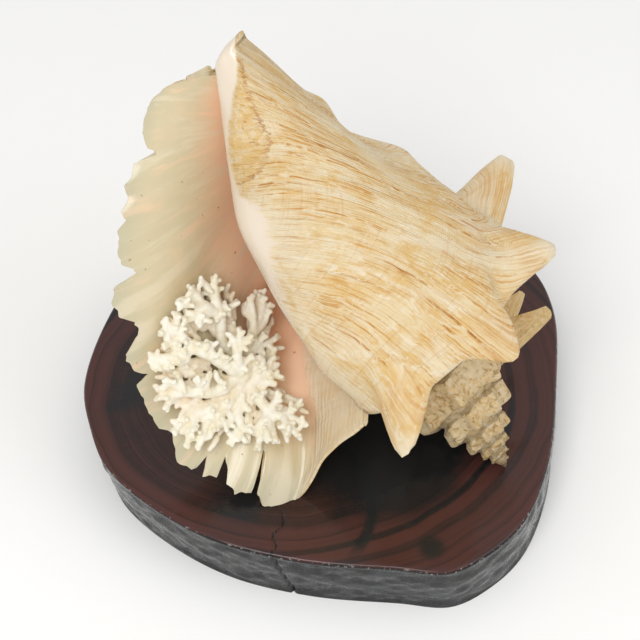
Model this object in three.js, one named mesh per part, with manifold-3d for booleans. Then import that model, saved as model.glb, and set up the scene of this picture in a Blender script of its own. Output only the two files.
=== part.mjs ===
// A queen conch shell on a varnished slice of a tree trunk, with a small white coral in its opening.
// Millimetres, +Z up, origin at the middle of the slab's underside.
import * as THREE from 'three';
import { mergeVertices } from 'three/addons/utils/BufferGeometryUtils.js';
import Module from 'manifold-3d';

const wasm = await Module();
wasm.setup();

// Slab

const SLAB_THICKNESS = 30;
// Outline as seen from above, counter-clockwise from the right.
const SLAB_OUTLINE = [
  [119, 6], [122, 58], [112, 87], [84, 106], [40, 114], [-12, 112], [-60, 103], [-96, 82],
  [-111, 50], [-119, 7], [-114, -19], [-104, -43], [-81, -66], [-48, -86], [-8, -97], [34, -101],
  [60, -103], [80, -92], [97, -74], [111, -41],
];
const SLAB_SIDES = 72;
const SLAB_UNDERSIDE_SHIFT = [4, -3.5];
const SLAB_MEAN_RADIUS = 110;
const SLAB_RIM = 1.6;
// Rings of the bark side: share of the height, share of the outline and sense of the bark's waves there.
const BARK_RINGS = [[0, 0.975, 0], [0.15, 0.987, 1], [0.55, 0.993, -1]];
const BARK_RELIEF = 0.9;
const BARK_WAVE = 2.4;
const WOOD_COLOR = 0x3f2a28;

// Shell

// Its own frame has the tip of the spire at the origin and the coiling axis along z, with the spire at +z.
// Angles are counted backwards along the growth, from the side of the lip (+x) over the back (+y).
// A larger angle is an older part of the shell.
const APEX_PLACE = [90.7, -46.3, 0.4];
const CANAL_RISE = 48;
const CANAL_HEADING = 141.4;
const ROLL = 211.9;
const WHORL_GROWTH = 1.85;
const SPIRE_GROWTH = 1.5;
const SPIRE_START = 520;
const SHOULDER = [58, -92];
const BELOW_SHOULDER = [58.5, -103];
const SPIRE_SHOULDER = [44, -90];
const SPIRE_BELOW = [50, -121];
const SPIRE_BLEND = [380, 560];
const SPIRE_LEAN = 0.42;
const RAMP_HOLLOW = [-2.2, -1.0];
// Tip of the canal: angle, radius and height.
const CANAL_TIP = [190, 6.5, -252.5];
const CANAL_BEND = 5.5;
const CANAL_BEND_START = -185;
const CANAL_BEND_LENGTH = 60;
const APEX_DEPTH = -3;
const SHELL_COLOR = 0xe4d2a6;

// Radius and height of the side of the last whorl, from under the shoulder down to the canal.
// There is a row for every quarter turn, from beside the lip to one and a half turns back, inside the shell.
const SIDE_TURNS = [0, 90, 180, 270, 360, 450, 540];
const SIDE_RIBS = [
  [[70, -150], [60, -172], [46, -195], [28, -218], [13, -240]],
  [[64, -132], [57, -158], [41.5, -184], [24.5, -214], [12, -241]],
  [[51, -119], [43.5, -143], [28.5, -168], [16.5, -203], [10, -244]],
  [[50.5, -106], [46.5, -138], [38, -172], [22, -208], [9, -243]],
  [[48, -98], [45, -138], [39.5, -178], [26, -211], [9, -240]],
  [[36, -85], [28, -115], [19, -155], [12, -195], [8, -238]],
  [[28, -75], [20, -105], [13, -145], [9, -190], [7, -236]],
];

// Share of the way from the suture over the ramp and the shoulder to the canal at which each rib point lies.
const RIB_SHARES = [0, 0.10, 0.20, 0.27, 0.38, 0.52, 0.66, 0.82, 1];
const SHOULDER_SHARE = 0.20;
const ROOT_SHARE = -0.03;

// Spines on the shoulder: angle, length outwards, length towards the apex and half the width at the base.
// The shoulder is drawn in where the length outwards is below 0.
const LARGE_SPINES = [
  [301, 26, 14, 23], [243, 9, 16, 23], [220, -9, 0, 15], [195, 19, 2, 21], [146, 42, -16, 15],
  [96, 44, -6, 23], [46, 38, 0, 23], [464, 40, 4, 20], [500, 47, -7, 11], [527.5, 36, -2, 12],
  [585, 6, 2, 14],
];
const SPIRE_SPINES = { first: 636, spacing: 45, out: 8, up: 0, halfWidth: 17 };
const SHOULDER_ARC = 66.7;
const SPINE_ABOVE = 15;
const SPINE_BELOW = 36;
const SPINE_ROUNDING = 0.012;
const SPINE_SHARPNESS = 1.5;
const SPINE_PEAK = 1.18;
const SHARE_LENGTH = 215;

// The free wall: the last part of the whorl, hollow inside, which opens into the flared lip.
const WALL_START = 200;
const WALL_ROOT = 8;
const ROOT_SUNK = 1.5;
const START_SUNK = -0.05;
const FLARE_START = 60;
const FLARE_TURN = 75;
const FLARE_LEAD = 0.5;
const FLARE_SPINE_LEAN = [0.64, 0.77];
const WALL_THICKNESS = 3.6;
const EDGE_THICKNESS = 1.7;

// Edge of the flare without its teeth, from its root beside the spire round to the canal, with the share that
// each point belongs to and the direction in which the lip runs out there.
const LIP_EDGE = [
  { share: 0, at: [45, -27, -70], out: [0.3, -1, 0.1] },
  { share: 0.07, at: [68, -8, -61], out: [0.9, -0.8, 0.3] },
  { share: 0.14, at: [90, 4, -46], out: [0.8, -0.3, 0.5] },
  { share: 0.24, at: [111, 3, -60], out: [1, -0.15, 0.5] },
  { share: 0.33, at: [130, 8, -80], out: [1, -0.1, 0.2] },
  { share: 0.42, at: [130, 10, -116], out: [1, 0, -0.1] },
  { share: 0.52, at: [122, 8, -154], out: [1, 0.05, -0.2] },
  { share: 0.60, at: [109, 6, -181], out: [1, 0.05, -0.25] },
  { share: 0.69, at: [90, 6, -204], out: [1, 0.05, -0.3] },
  { share: 0.79, at: [66, 8, -227], out: [1, 0.05, -0.3] },
  { share: 0.87, at: [45, 8, -243], out: [1, 0, -0.25] },
  { share: 0.93, at: [29, 8, -243], out: [1, -0.1, -0.1] },
  { share: 1, at: [13, 9, -237], out: [1, -0.3, 0] },
];

// Teeth of the lip: share along the edge, and how deep it is cut in there as a part of the flare's width.
const LIP_TEETH = [
  [0, 0], [0.07, 0], [0.14, 0], [0.213, -0.02], [0.236, 0.18], [0.245, 0.02], [0.28, 0.04], [0.305, 0.15],
  [0.325, 0.05], [0.338, 0.12], [0.352, 0.05], [0.395, 0.07], [0.44, 0.03], [0.477, 0.08], [0.513, 0.02],
  [0.536, 0.11], [0.582, 0.01], [0.606, 0.03], [0.612, 0.16], [0.64, 0.06], [0.682, 0.03], [0.7, 0.07],
  [0.745, 0.01], [0.774, 0.06], [0.78, 0.24], [0.793, 0.14], [0.835, 0.06], [0.88, 0.05], [0.92, 0.22],
  [0.945, 0.33], [0.97, 0.4], [1, 0],
];

// Facets: columns of a whorl, rows on the part of a whorl that stays in view, and rows below it.
const COLUMNS_PER_TURN = 48;
const SPIRE_TURNS = 4;
const UPPER_SHARES = [0, 0.08, 0.15, 0.20, 0.27];
const LOWER_SHARES = [0.33, 0.42, 0.54, 0.68, 0.84, 1];
const WALL_ANGLES = [195, 179, 163, 146, 129, 113, 96, 78, 60];
const FLARE_STEPS = [0.15, 0.32, 0.5, 0.68, 0.85, 1];

// Coral

// Its own frame looks along the slanted line of sight into the opening: x right, y up and out to the viewer.
// Each arm is a path of points, each x, y and height over the lip's lining, and twigs.
// A twig is the number of the path point that it grows from, x, y and how much farther out its tip stands.
const CORAL_HUB = [-36, -12, 61.7];
const CORAL_FRAME_TILT = 50;
const CORAL_WIDTH = 0.95;
const CORAL_STEM = [{ lift: 2.6, radius: 4 }, { lift: 5.5, radius: 5.5 }, { lift: 9, radius: 4 }];
const ARM_SIDES = 5;
const TWIG_SIDES = 4;
const CORAL_THICK = 3.2;
const CORAL_THIN = 2.2;
const CORAL_TIP = 1.6;
const CORAL_GAP = 0.35;
const CORAL_BLUNTNESS = 0.5;
const CORAL_COLOR = 0xf3ecdc;
// Height of the lip's lining over the coral's frame: at the hub, and its slopes to the left, right and below.
const LINING = {
  hub: 6, left: 0.6, leftTwist: 0.005, right: -0.35, rightTwist: -0.02, below: 0.2, belowStart: -14,
};
const CORAL_ARMS = {
  upper: {
    path: [[0, 0, 5], [-4.5, 8, 7], [-10, 15, 9], [-11, 24, 10], [-11.5, 29, 11], [-13.5, 36, 12]],
    twigs: [[5, -20.5, 45.5, 1], [5, -14, 45.5, 2], [4, -9, 33, 2], [4, -3.5, 34, 3]],
  },
  upper_fan: {
    path: [[-14.5, 30.5, 11.5], [-20, 34, 13]],
    twigs: [[1, -24, 41, 2], [1, -29.5, 36, 1], [1, -29, 33, 4], [0, -25, 29, 2], [0, -20.5, 25, 3],
      [0, -27.5, 26, 3]],
  },
  upper_right: {
    path: [[0.5, 1, 9], [2, 9, 9], [4, 19, 8], [8.5, 29.5, 9]],
    twigs: [[3, 9, 39.5, 1], [3, 12.5, 33, 2], [2, 3.5, 36.5, 3], [2, 11.5, 27, 3], [1, 16.5, 18, 3],
      [1, 10, 19, 5]],
  },
  front: {
    path: [[0, 0, 8], [-2, 5, 13], [-3, 12, 18]],
    twigs: [[2, -5.5, 19.5, 2], [2, -1, 20.5, 3], [2, 3, 18, 4], [1, 4, 9, 3]],
  },
  right: {
    path: [[1, -1, 6], [6, -2, 8], [11, 2, 10]],
    twigs: [[2, 9, 9, 3], [2, 15, 12, 1], [2, 18, -1, 3], [2, 16.5, 4, 1], [1, 5, 8, 3], [1, 15, -4, 4]],
  },
  lower_right: {
    path: [[1, -2, 6], [6, -10, 8], [12.5, -18, 9], [20, -19, 11]],
    twigs: [[1, 9, -9, 4], [2, 16, -30, 1], [2, 5.5, -26, 1], [2, 7, -33, 0], [2, 12, -28.5, 4],
      [2, 17.5, -9, 4], [3, 28, -13, 2], [3, 31, -22, 0], [3, 27, -28, 0], [3, 23, -26, 4]],
  },
  bottom: {
    path: [[0, -2, 6], [-2, -12, 8], [-3.5, -18, 9], [-2, -23, 9]],
    twigs: [[3, -0.5, -30, 1], [3, -6, -31, 1], [3, 3, -26, 3], [2, -9, -24, 2], [1, 2, -15, 4]],
  },
  lower_left: {
    path: [[-1, -2, 7], [-8, -13, 8], [-16, -15, 8], [-24, -18, 8]],
    twigs: [[3, -32.5, -21.5, 0], [3, -33, -25, 1], [3, -27, -32, 0], [2, -21, -32, 1], [2, -14, -25, 2],
      [1, -11, -20, 4], [3, -25, -25, 3]],
  },
  left: {
    path: [[-1, -1, 7], [-10, -6, 9], [-18.5, -7.5, 10], [-28.5, -6.5, 9], [-33, -8, 8]],
    twigs: [[4, -41, -5.5, 0], [4, -40, -9.5, 1], [4, -37, -13.5, 1], [3, -36.5, -1, 2], [3, -31, 1, 4],
      [2, -16.5, 0, 5], [2, -22, -2, 5], [1, -13, 0, 5]],
  },
  upper_left: {
    path: [[-1, 1, 9], [-8, 5, 12], [-15, 9.5, 12], [-23, 13, 11], [-28, 17, 10], [-31, 21, 9]],
    twigs: [[5, -37, 25.5, 0], [5, -38.5, 20, 1], [4, -37, 14.5, 1], [3, -34, 9, 0], [3, -30, 7, 3],
      [2, -21, 16, 4], [2, -16, 15, 4], [1, -11, 11, 5], [5, -31, 27, 1]],
  },
  left_tip: {
    path: [[-33, 8.5, 10], [-36, 9, 10]],
    twigs: [[1, -43, 9.5, 0], [1, -42, 5.5, 1], [0, -36, 4.5, 2]],
  },
};

// Corners closer than this are one corner.
const WELD_DISTANCE = 1e-4;

const rad = THREE.MathUtils.degToRad;

// A smooth curve through values given at keys. Each value is a list of numbers.
function smoothThrough(keys, values, at) {
  const x = THREE.MathUtils.clamp(at, keys[0], keys[keys.length - 1]);
  let k = 0;
  while (k < keys.length - 2 && keys[k + 1] <= x) k += 1;
  const slope = (i, c) => (values[i + 1][c] - values[i][c]) / (keys[i + 1] - keys[i]);
  const tangent = (i, c) => {
    if (i === 0) return slope(0, c);
    if (i === keys.length - 1) return slope(i - 1, c);
    const before = keys[i] - keys[i - 1];
    const after = keys[i + 1] - keys[i];
    return (slope(i - 1, c) * after + slope(i, c) * before) / (before + after);
  };
  const span = keys[k + 1] - keys[k];
  const t = (x - keys[k]) / span;
  const next = values[k + 1];
  return values[k].map((v, c) => hermite(t, v, span * tangent(k, c), next[c], span * tangent(k + 1, c)));
}

function hermite(t, start, startSlope, end, endSlope) {
  const square = t * t;
  const cube = square * t;
  return (2 * cube - 3 * square + 1) * start + (cube - 2 * square + t) * startSlope
    + (3 * square - 2 * cube) * end + (cube - square) * endSlope;
}

// Size of the shell at an angle, against its size half a turn behind the lip.
function growth(angle) {
  const body = Math.min(angle, SPIRE_START);
  const spire = Math.max(angle - SPIRE_START, 0);
  return WHORL_GROWTH ** ((180 - body) / 360) * SPIRE_GROWTH ** (-spire / 360);
}

// The spire is slimmer than the last whorl, with taller sides under its shoulders, and its whorls lie aslant.
function whorlPoint(angle, body, spire) {
  const share = THREE.MathUtils.smoothstep(angle, ...SPIRE_BLEND);
  const [radius, height] = body.map((v, c) => THREE.MathUtils.lerp(v, spire[c], share) * growth(angle));
  return [radius, height + SPIRE_LEAN * share * radius * Math.sin(rad(angle))];
}

// Points of one rib, each a radius and a height: suture, ramp, shoulder, under the shoulder, side and canal.
function ribPoints(angle) {
  const suture = whorlPoint(angle + 360, BELOW_SHOULDER, SPIRE_BELOW);
  const shoulder = whorlPoint(angle, SHOULDER, SPIRE_SHOULDER);
  const below = whorlPoint(angle, BELOW_SHOULDER, SPIRE_BELOW);
  const ramp = [0, 1].map((c) => (suture[c] + shoulder[c]) / 2 + RAMP_HOLLOW[c] * growth(angle));
  const side = SIDE_RIBS[0].map((_, i) => smoothThrough(SIDE_TURNS, SIDE_RIBS.map((rib) => rib[i]), angle));
  return [suture, ramp, shoulder, below, ...side];
}

// Radius and height at a share of a rib. A share below 0 runs straight on into the older whorl.
function ribAt(points, share) {
  if (share >= 0) return smoothThrough(RIB_SHARES, points, share);
  const near = smoothThrough(RIB_SHARES, points, -share);
  return points[0].map((v, c) => 2 * v - near[c]);
}

function spireSpines() {
  const spines = [];
  const last = WALL_START + 360 * (SPIRE_TURNS + 1);
  for (let angle = SPIRE_SPINES.first; angle < last; angle += SPIRE_SPINES.spacing) {
    const size = growth(angle) / growth(540);
    spines.push([angle, SPIRE_SPINES.out * size, SPIRE_SPINES.up * size, SPIRE_SPINES.halfWidth]);
  }
  return spines;
}
const SPINES = [...LARGE_SPINES, ...spireSpines()];

// How far the spines lift the surface, outwards and towards the apex.
function spineLift(angle, share) {
  let out = 0;
  let up = 0;
  const reach = share < SHOULDER_SHARE ? SPINE_ABOVE : SPINE_BELOW;
  const along = (share - SHOULDER_SHARE) * SHARE_LENGTH / reach;
  for (const [centre, length, rise, halfWidth] of SPINES) {
    const across = rad(angle - centre) * SHOULDER_ARC / halfWidth;
    const distance = Math.sqrt(across * across + along * along + SPINE_ROUNDING);
    const lift = SPINE_PEAK * Math.max(0, 1 - distance) ** SPINE_SHARPNESS;
    out += length * lift;
    up += rise * lift;
  }
  return [out, up];
}

// The canal bends a little towards the lip at its end.
function placed(angle, radius, height) {
  const past = Math.max(0, CANAL_BEND_START - height) / CANAL_BEND_LENGTH;
  const bend = CANAL_BEND * past * past;
  return new THREE.Vector3(radius * Math.cos(rad(angle)) + bend, radius * Math.sin(rad(angle)), height);
}

function shellPoint(points, angle, share, spined) {
  const [radius, height] = ribAt(points, share);
  const [out, up] = spined ? spineLift(angle, share) : [0, 0];
  return placed(angle, radius + out, height + up);
}

// Collects triangles with shared corners for one closed surface.
class Surface {
  constructor() {
    this.points = [];
    this.faces = [];
  }

  add(point) {
    this.points.push(point);
    return this.points.length - 1;
  }

  triangle(a, b, c) {
    if (a !== b && b !== c && c !== a) this.faces.push(a, b, c);
  }

  quad(a, b, c, d) {
    this.triangle(a, b, c);
    this.triangle(a, c, d);
  }

  // A strip between two rows of corners that may differ in number.
  strip(rowA, rowB) {
    let a = 0;
    let b = 0;
    const lastA = rowA.length - 1;
    const lastB = rowB.length - 1;
    while (a < lastA || b < lastB) {
      if (b >= lastB || (a < lastA && (a + 1) / lastA <= (b + 1) / lastB)) {
        this.triangle(rowA[a], rowB[b], rowA[a + 1]);
        a += 1;
      } else {
        this.triangle(rowA[a], rowB[b], rowB[b + 1]);
        b += 1;
      }
    }
  }

  solid() {
    const geometry = new THREE.BufferGeometry();
    const positions = this.points.flatMap((p) => [p.x, p.y, p.z]);
    geometry.setAttribute('position', new THREE.Float32BufferAttribute(positions, 3));
    geometry.setIndex(this.faces);
    return solidOf(geometry);
  }
}

// Turns a closed geometry into a solid for joining and cutting, with its faces pointing out.
function solidOf(source) {
  const bare = source.clone();
  bare.deleteAttribute('normal');
  bare.deleteAttribute('uv');
  const merged = mergeVertices(bare, WELD_DISTANCE);
  const make = (indices) => new wasm.Manifold(new wasm.Mesh({
    numProp: 3,
    vertProperties: Float32Array.from(merged.attributes.position.array),
    triVerts: Uint32Array.from(indices),
  }));
  const indices = Array.from(merged.index.array);
  const solid = make(indices);
  if (solid.volume() > 0) return solid;
  return make(indices.map((_, i) => indices[i % 3 === 0 ? i : i + (i % 3 === 1 ? 1 : -1)]));
}

function geometryOf(solid) {
  const mesh = solid.getMesh();
  const geometry = new THREE.BufferGeometry();
  geometry.setAttribute('position', new THREE.Float32BufferAttribute(Array.from(mesh.vertProperties), 3));
  geometry.setIndex(Array.from(mesh.triVerts));
  geometry.computeVertexNormals();
  return geometry;
}

// Spire and inner whorls in one closed surface. The lower edge of a turn is the suture of the next one.
// The youngest full turn here runs down to the canal.
function innerWhorls() {
  const surface = new Surface();
  const shares = [...UPPER_SHARES, ...LOWER_SHARES];
  const suture = UPPER_SHARES.length - 1;
  const last = shares.length - 1;
  const turn = COLUMNS_PER_TURN;
  const end = turn * (SPIRE_TURNS + 1);
  const rows = [];
  for (let i = 0; i <= end; i += 1) {
    const angle = WALL_START + 360 * i / turn;
    const points = ribPoints(angle);
    const full = i <= turn;
    const row = (full ? shares : UPPER_SHARES).map((share, j) => {
      if (i >= turn && j === suture) return rows[i - turn][0];
      return surface.add(shellPoint(points, angle, share, true));
    });
    rows.push(row);
  }
  for (let i = 0; i < end; i += 1) {
    const count = i < turn ? last : suture;
    for (let j = 0; j < count; j += 1) {
      surface.quad(rows[i][j], rows[i][j + 1], rows[i + 1][j + 1], rows[i + 1][j]);
    }
  }
  const apex = surface.add(new THREE.Vector3(0, 0, APEX_DEPTH));
  for (let i = end - turn; i < end; i += 1) surface.triangle(rows[i][0], rows[i + 1][0], apex);
  for (let j = 0; j < suture; j += 1) surface.triangle(rows[end][j], rows[end][j + 1], apex);
  const tip = surface.add(placed(...CANAL_TIP));
  for (let i = 0; i < turn; i += 1) surface.triangle(rows[i][last], tip, rows[i + 1][last]);
  surface.triangle(rows[turn][last], tip, rows[0][last]);
  surface.strip(rows[0], rows[turn].slice(suture));
  return surface.solid();
}

const lipShares = LIP_EDGE.map((point) => point.share);
const lipPlaces = LIP_EDGE.map((point) => point.at);
const lipDirections = LIP_EDGE.map((point) => new THREE.Vector3(...point.out).normalize().toArray());

// A point of the flare, from where it leaves the whorl (0) to its edge (1), with the lift of its spines.
function flarePoint(points, step, share, spined) {
  const inner = Math.max(share, 0);
  const start = shellPoint(points, FLARE_START, share, false);
  const leadAngle = FLARE_START - FLARE_LEAD;
  const younger = shellPoint(ribPoints(leadAngle), leadAngle, share, false);
  const edge = new THREE.Vector3(...smoothThrough(lipShares, lipPlaces, inner));
  const ahead = new THREE.Vector3(...smoothThrough(lipShares, lipDirections, inner)).normalize();
  const length = edge.distanceTo(start);
  const leave = younger.sub(start).normalize().multiplyScalar(length);
  ahead.multiplyScalar(length);
  const along = (c) => hermite(step, start[c], leave[c], edge[c], ahead[c]);
  const point = new THREE.Vector3(along('x'), along('y'), along('z'));
  if (spined) {
    const [out, up] = spineLift(FLARE_START - step * FLARE_TURN, inner);
    point.add(new THREE.Vector3(out * FLARE_SPINE_LEAN[0], out * FLARE_SPINE_LEAN[1], up));
  }
  return point;
}

function toothDepth(share) {
  const next = LIP_TEETH.findIndex((tooth) => tooth[0] >= share);
  if (next <= 0) return 0;
  const [x0, y0] = LIP_TEETH[next - 1];
  const [x1, y1] = LIP_TEETH[next];
  return THREE.MathUtils.mapLinear(share, x0, x1, y0, y1);
}

// One column of the free wall across its shares, at a row of the whorl or at a step of the flare.
function wallColumn(row, shares, spined) {
  const points = ribPoints(row.angle ?? FLARE_START);
  return shares.map((share) => {
    if (row.angle !== undefined) return shellPoint(points, row.angle, share, spined);
    return flarePoint(points, row.step * (1 - toothDepth(share)), share, spined);
  });
}

// Normals of a grid of points by its neighbours, pointing out of the shell.
function gridNormals(grid) {
  const clamp = (i, n) => Math.min(Math.max(i, 0), n - 1);
  return grid.map((column, i) => column.map((_, j) => {
    const along = grid[clamp(i + 1, grid.length)][j].clone().sub(grid[clamp(i - 1, grid.length)][j]);
    const across = column[clamp(j + 1, column.length)].clone().sub(column[clamp(j - 1, column.length)]);
    return along.cross(across).normalize();
  }));
}

// The hollow last half turn with its flared, toothed lip: an outer skin with spines and a smooth inner one.
function freeWall() {
  const rows = [
    { angle: WALL_START + WALL_ROOT, sunk: ROOT_SUNK },
    { angle: WALL_START, sunk: START_SUNK },
    ...WALL_ANGLES.map((angle) => ({ angle, sunk: 0 })),
    ...FLARE_STEPS.map((step) => ({ step, sunk: 0 })),
  ];
  const shares = [ROOT_SHARE, ...LIP_TEETH.map((tooth) => tooth[0])];
  const outer = rows.map((row) => wallColumn(row, shares, true));
  const smooth = rows.map((row) => wallColumn(row, shares, false));
  const normals = gridNormals(smooth);
  const surface = new Surface();
  const skin = outer.map((column, i) => column.map((point, j) => (
    surface.add(point.clone().addScaledVector(normals[i][j], -rows[i].sunk)))));
  const lining = smooth.map((column, i) => column.map((point, j) => {
    const step = rows[i].step ?? 0;
    const thickness = THREE.MathUtils.lerp(WALL_THICKNESS, EDGE_THICKNESS, step ** 2);
    return surface.add(point.clone().addScaledVector(normals[i][j], -thickness));
  }));
  const n = rows.length - 1;
  const m = shares.length - 1;
  for (let i = 0; i < n; i += 1) {
    for (let j = 0; j < m; j += 1) {
      surface.quad(skin[i][j], skin[i][j + 1], skin[i + 1][j + 1], skin[i + 1][j]);
      surface.quad(lining[i][j], lining[i + 1][j], lining[i + 1][j + 1], lining[i][j + 1]);
    }
    surface.quad(skin[i][0], skin[i + 1][0], lining[i + 1][0], lining[i][0]);
    surface.quad(skin[i][m], lining[i][m], lining[i + 1][m], skin[i + 1][m]);
  }
  for (let j = 0; j < m; j += 1) {
    surface.quad(skin[0][j], lining[0][j], lining[0][j + 1], skin[0][j + 1]);
    surface.quad(skin[n][j], skin[n][j + 1], lining[n][j + 1], lining[n][j]);
  }
  return surface.solid();
}

// The shell's place on the slab, from the rise and heading of its canal and its roll about the coiling axis.
function shellFrame() {
  const rise = rad(CANAL_RISE);
  const heading = rad(CANAL_HEADING);
  const flat = Math.cos(rise);
  const axis = new THREE.Vector3(-flat * Math.cos(heading), -flat * Math.sin(heading), -Math.sin(rise));
  const level = new THREE.Vector3(Math.sin(heading), -Math.cos(heading), 0);
  const steep = axis.clone().cross(level);
  const side = level.multiplyScalar(Math.cos(rad(ROLL))).addScaledVector(steep, Math.sin(rad(ROLL)));
  const back = axis.clone().cross(side);
  const frame = new THREE.Matrix4().makeBasis(side, back, axis);
  return frame.setPosition(APEX_PLACE[0], APEX_PLACE[1], APEX_PLACE[2] + SLAB_THICKNESS);
}

function material(color, roughness) {
  return new THREE.MeshStandardMaterial({ color, roughness, metalness: 0 });
}

function conchShell() {
  const solid = innerWhorls().add(freeWall());
  const mesh = new THREE.Mesh(geometryOf(solid), material(SHELL_COLOR, 0.55));
  mesh.name = 'conch_shell';
  mesh.applyMatrix4(shellFrame());
  return mesh;
}

// Slab: outline of the top, smoothed, with its bark side slightly uneven and drawn in at the underside.
function woodSlab() {
  const outline = new THREE.CatmullRomCurve3(SLAB_OUTLINE.map(([x, y]) => new THREE.Vector3(x, y, 0)), true);
  const rings = [
    ...BARK_RINGS.map(([rise, scale, relief]) => ({ height: SLAB_THICKNESS * rise, scale, relief })),
    { height: SLAB_THICKNESS - SLAB_RIM, scale: 1, relief: 0 },
    { height: SLAB_THICKNESS, scale: 1 - SLAB_RIM / SLAB_MEAN_RADIUS, relief: 0 },
  ];
  const surface = new Surface();
  const around = Array.from({ length: SLAB_SIDES }, (_, i) => outline.getPoint(i / SLAB_SIDES));
  const loops = rings.map((ring) => around.map((point, i) => {
    const wave = ring.relief * BARK_RELIEF * Math.sin(i * BARK_WAVE) / point.length();
    const scale = ring.scale + wave;
    const [x, y] = SLAB_UNDERSIDE_SHIFT.map((shift) => shift * (1 - ring.height / SLAB_THICKNESS));
    return surface.add(new THREE.Vector3(point.x * scale + x, point.y * scale + y, ring.height));
  }));
  const next = (i) => (i + 1) % SLAB_SIDES;
  for (let k = 0; k < loops.length - 1; k += 1) {
    for (let i = 0; i < SLAB_SIDES; i += 1) {
      surface.quad(loops[k][i], loops[k][next(i)], loops[k + 1][next(i)], loops[k + 1][i]);
    }
  }
  const under = surface.add(new THREE.Vector3(0, 0, 0));
  const top = surface.add(new THREE.Vector3(0, 0, SLAB_THICKNESS));
  for (let i = 0; i < SLAB_SIDES; i += 1) {
    surface.triangle(under, loops[0][next(i)], loops[0][i]);
    surface.triangle(top, loops[loops.length - 1][i], loops[loops.length - 1][next(i)]);
  }
  const mesh = new THREE.Mesh(geometryOf(surface.solid()), material(WOOD_COLOR, 0.25));
  mesh.name = 'wood_slab';
  return mesh;
}

// Height of the lip's lining over the flat coral frame, nearly enough for the coral to stand clear of it.
function liningHeight(x, y) {
  const leftwards = Math.max(-x, 0) * (LINING.left + LINING.leftTwist * y);
  const rightwards = Math.max(x, 0) * (LINING.right + LINING.rightTwist * y);
  return LINING.hub + leftwards + rightwards + LINING.below * Math.max(LINING.belowStart - y, 0);
}

function coralPoint([right, y, lift]) {
  const x = right * CORAL_WIDTH;
  const tilt = rad(CORAL_FRAME_TILT);
  const up = new THREE.Vector3(0, Math.sin(tilt), Math.cos(tilt));
  const out = new THREE.Vector3(0, -Math.cos(tilt), Math.sin(tilt));
  const hub = new THREE.Vector3(...CORAL_HUB).add(new THREE.Vector3(x, 0, 0));
  return hub.addScaledVector(up, y).addScaledVector(out, liningHeight(x, y) + lift);
}

// A tapered tube through points, with a blunt point at both ends.
function taperedTube(points, radii, sides) {
  const surface = new Surface();
  const last = points.length - 1;
  const first = points[1].clone().sub(points[0]).normalize();
  const steep = Math.abs(first.z) > Math.SQRT1_2;
  const pick = steep ? new THREE.Vector3(1, 0, 0) : new THREE.Vector3(0, 0, 1);
  let across = first.clone().cross(pick).normalize();
  const rings = points.map((point, i) => {
    const ahead = points[Math.min(i + 1, last)].clone().sub(points[Math.max(i - 1, 0)]).normalize();
    across = across.addScaledVector(ahead, -across.dot(ahead)).normalize();
    const upward = ahead.clone().cross(across);
    return Array.from({ length: sides }, (_, k) => {
      const angle = 2 * Math.PI * k / sides;
      const offset = across.clone().multiplyScalar(Math.cos(angle)).addScaledVector(upward, Math.sin(angle));
      return surface.add(point.clone().addScaledVector(offset, radii[i]));
    });
  });
  const start = surface.add(points[0].clone().addScaledVector(first, -CORAL_BLUNTNESS * radii[0]));
  const end = points[last].clone().sub(points[last - 1]).normalize();
  const tip = surface.add(points[last].clone().addScaledVector(end, CORAL_BLUNTNESS * radii[last]));
  for (let k = 0; k < sides; k += 1) {
    const next = (k + 1) % sides;
    for (let i = 0; i < last; i += 1) {
      surface.quad(rings[i][k], rings[i][next], rings[i + 1][next], rings[i + 1][k]);
    }
    surface.triangle(start, rings[0][next], rings[0][k]);
    surface.triangle(tip, rings[last][k], rings[last][next]);
  }
  return surface.solid();
}

// One arm of the coral with its twigs, thicker all over by a margin when it serves as a cutter.
function coralArm(arm, margin) {
  const last = arm.path.length - 1;
  const radiusAt = (i) => THREE.MathUtils.lerp(CORAL_THICK, CORAL_THIN, i / last);
  let solid = taperedTube(arm.path.map(coralPoint), arm.path.map((_, i) => radiusAt(i) + margin), ARM_SIDES);
  for (const [from, x, y, lift] of arm.twigs) {
    const root = arm.path[from];
    const ends = [coralPoint(root), coralPoint([x, y, root[2] + lift])];
    const radii = [Math.min(radiusAt(from), CORAL_THIN) + margin, CORAL_TIP + margin];
    solid = solid.add(taperedTube(ends, radii, TWIG_SIDES));
  }
  return solid;
}

function coralStem(margin) {
  const points = CORAL_STEM.map(({ lift }) => coralPoint([0, 0, lift]));
  return taperedTube(points, CORAL_STEM.map(({ radius }) => radius + margin), ARM_SIDES);
}

function largestPiece(solid) {
  return solid.decompose().reduce((best, piece) => (piece.volume() > best.volume() ? piece : best));
}

// Coral: the stem, then each arm with its own side cut back from all that came before.
function coral() {
  const parts = [{ name: 'coral_stem', solid: coralStem(0) }];
  let taken = coralStem(CORAL_GAP);
  for (const [place, arm] of Object.entries(CORAL_ARMS)) {
    parts.push({ name: `coral_branch_${place}`, solid: largestPiece(coralArm(arm, 0).subtract(taken)) });
    taken = taken.add(coralArm(arm, CORAL_GAP));
  }
  return parts.map(({ name, solid }) => {
    const mesh = new THREE.Mesh(geometryOf(solid), material(CORAL_COLOR, 0.8));
    mesh.name = name;
    return mesh;
  });
}

const group = new THREE.Group();
group.add(woodSlab());
group.add(conchShell());
group.add(...coral());

export default group;
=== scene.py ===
"""A queen conch shell with a small branching coral in its opening, on a varnished slice of a tree trunk.

Lengths are in millimetres and are turned into metres when a mesh is made. The materials work in metres, apart
from the lengths along and across the shell's cords. Angles on the shell are in degrees, counted backwards
along its growth, from the side of the flared lip over the back. A share runs from the suture (0) over the
shoulder down to the canal (1).
"""

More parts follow.
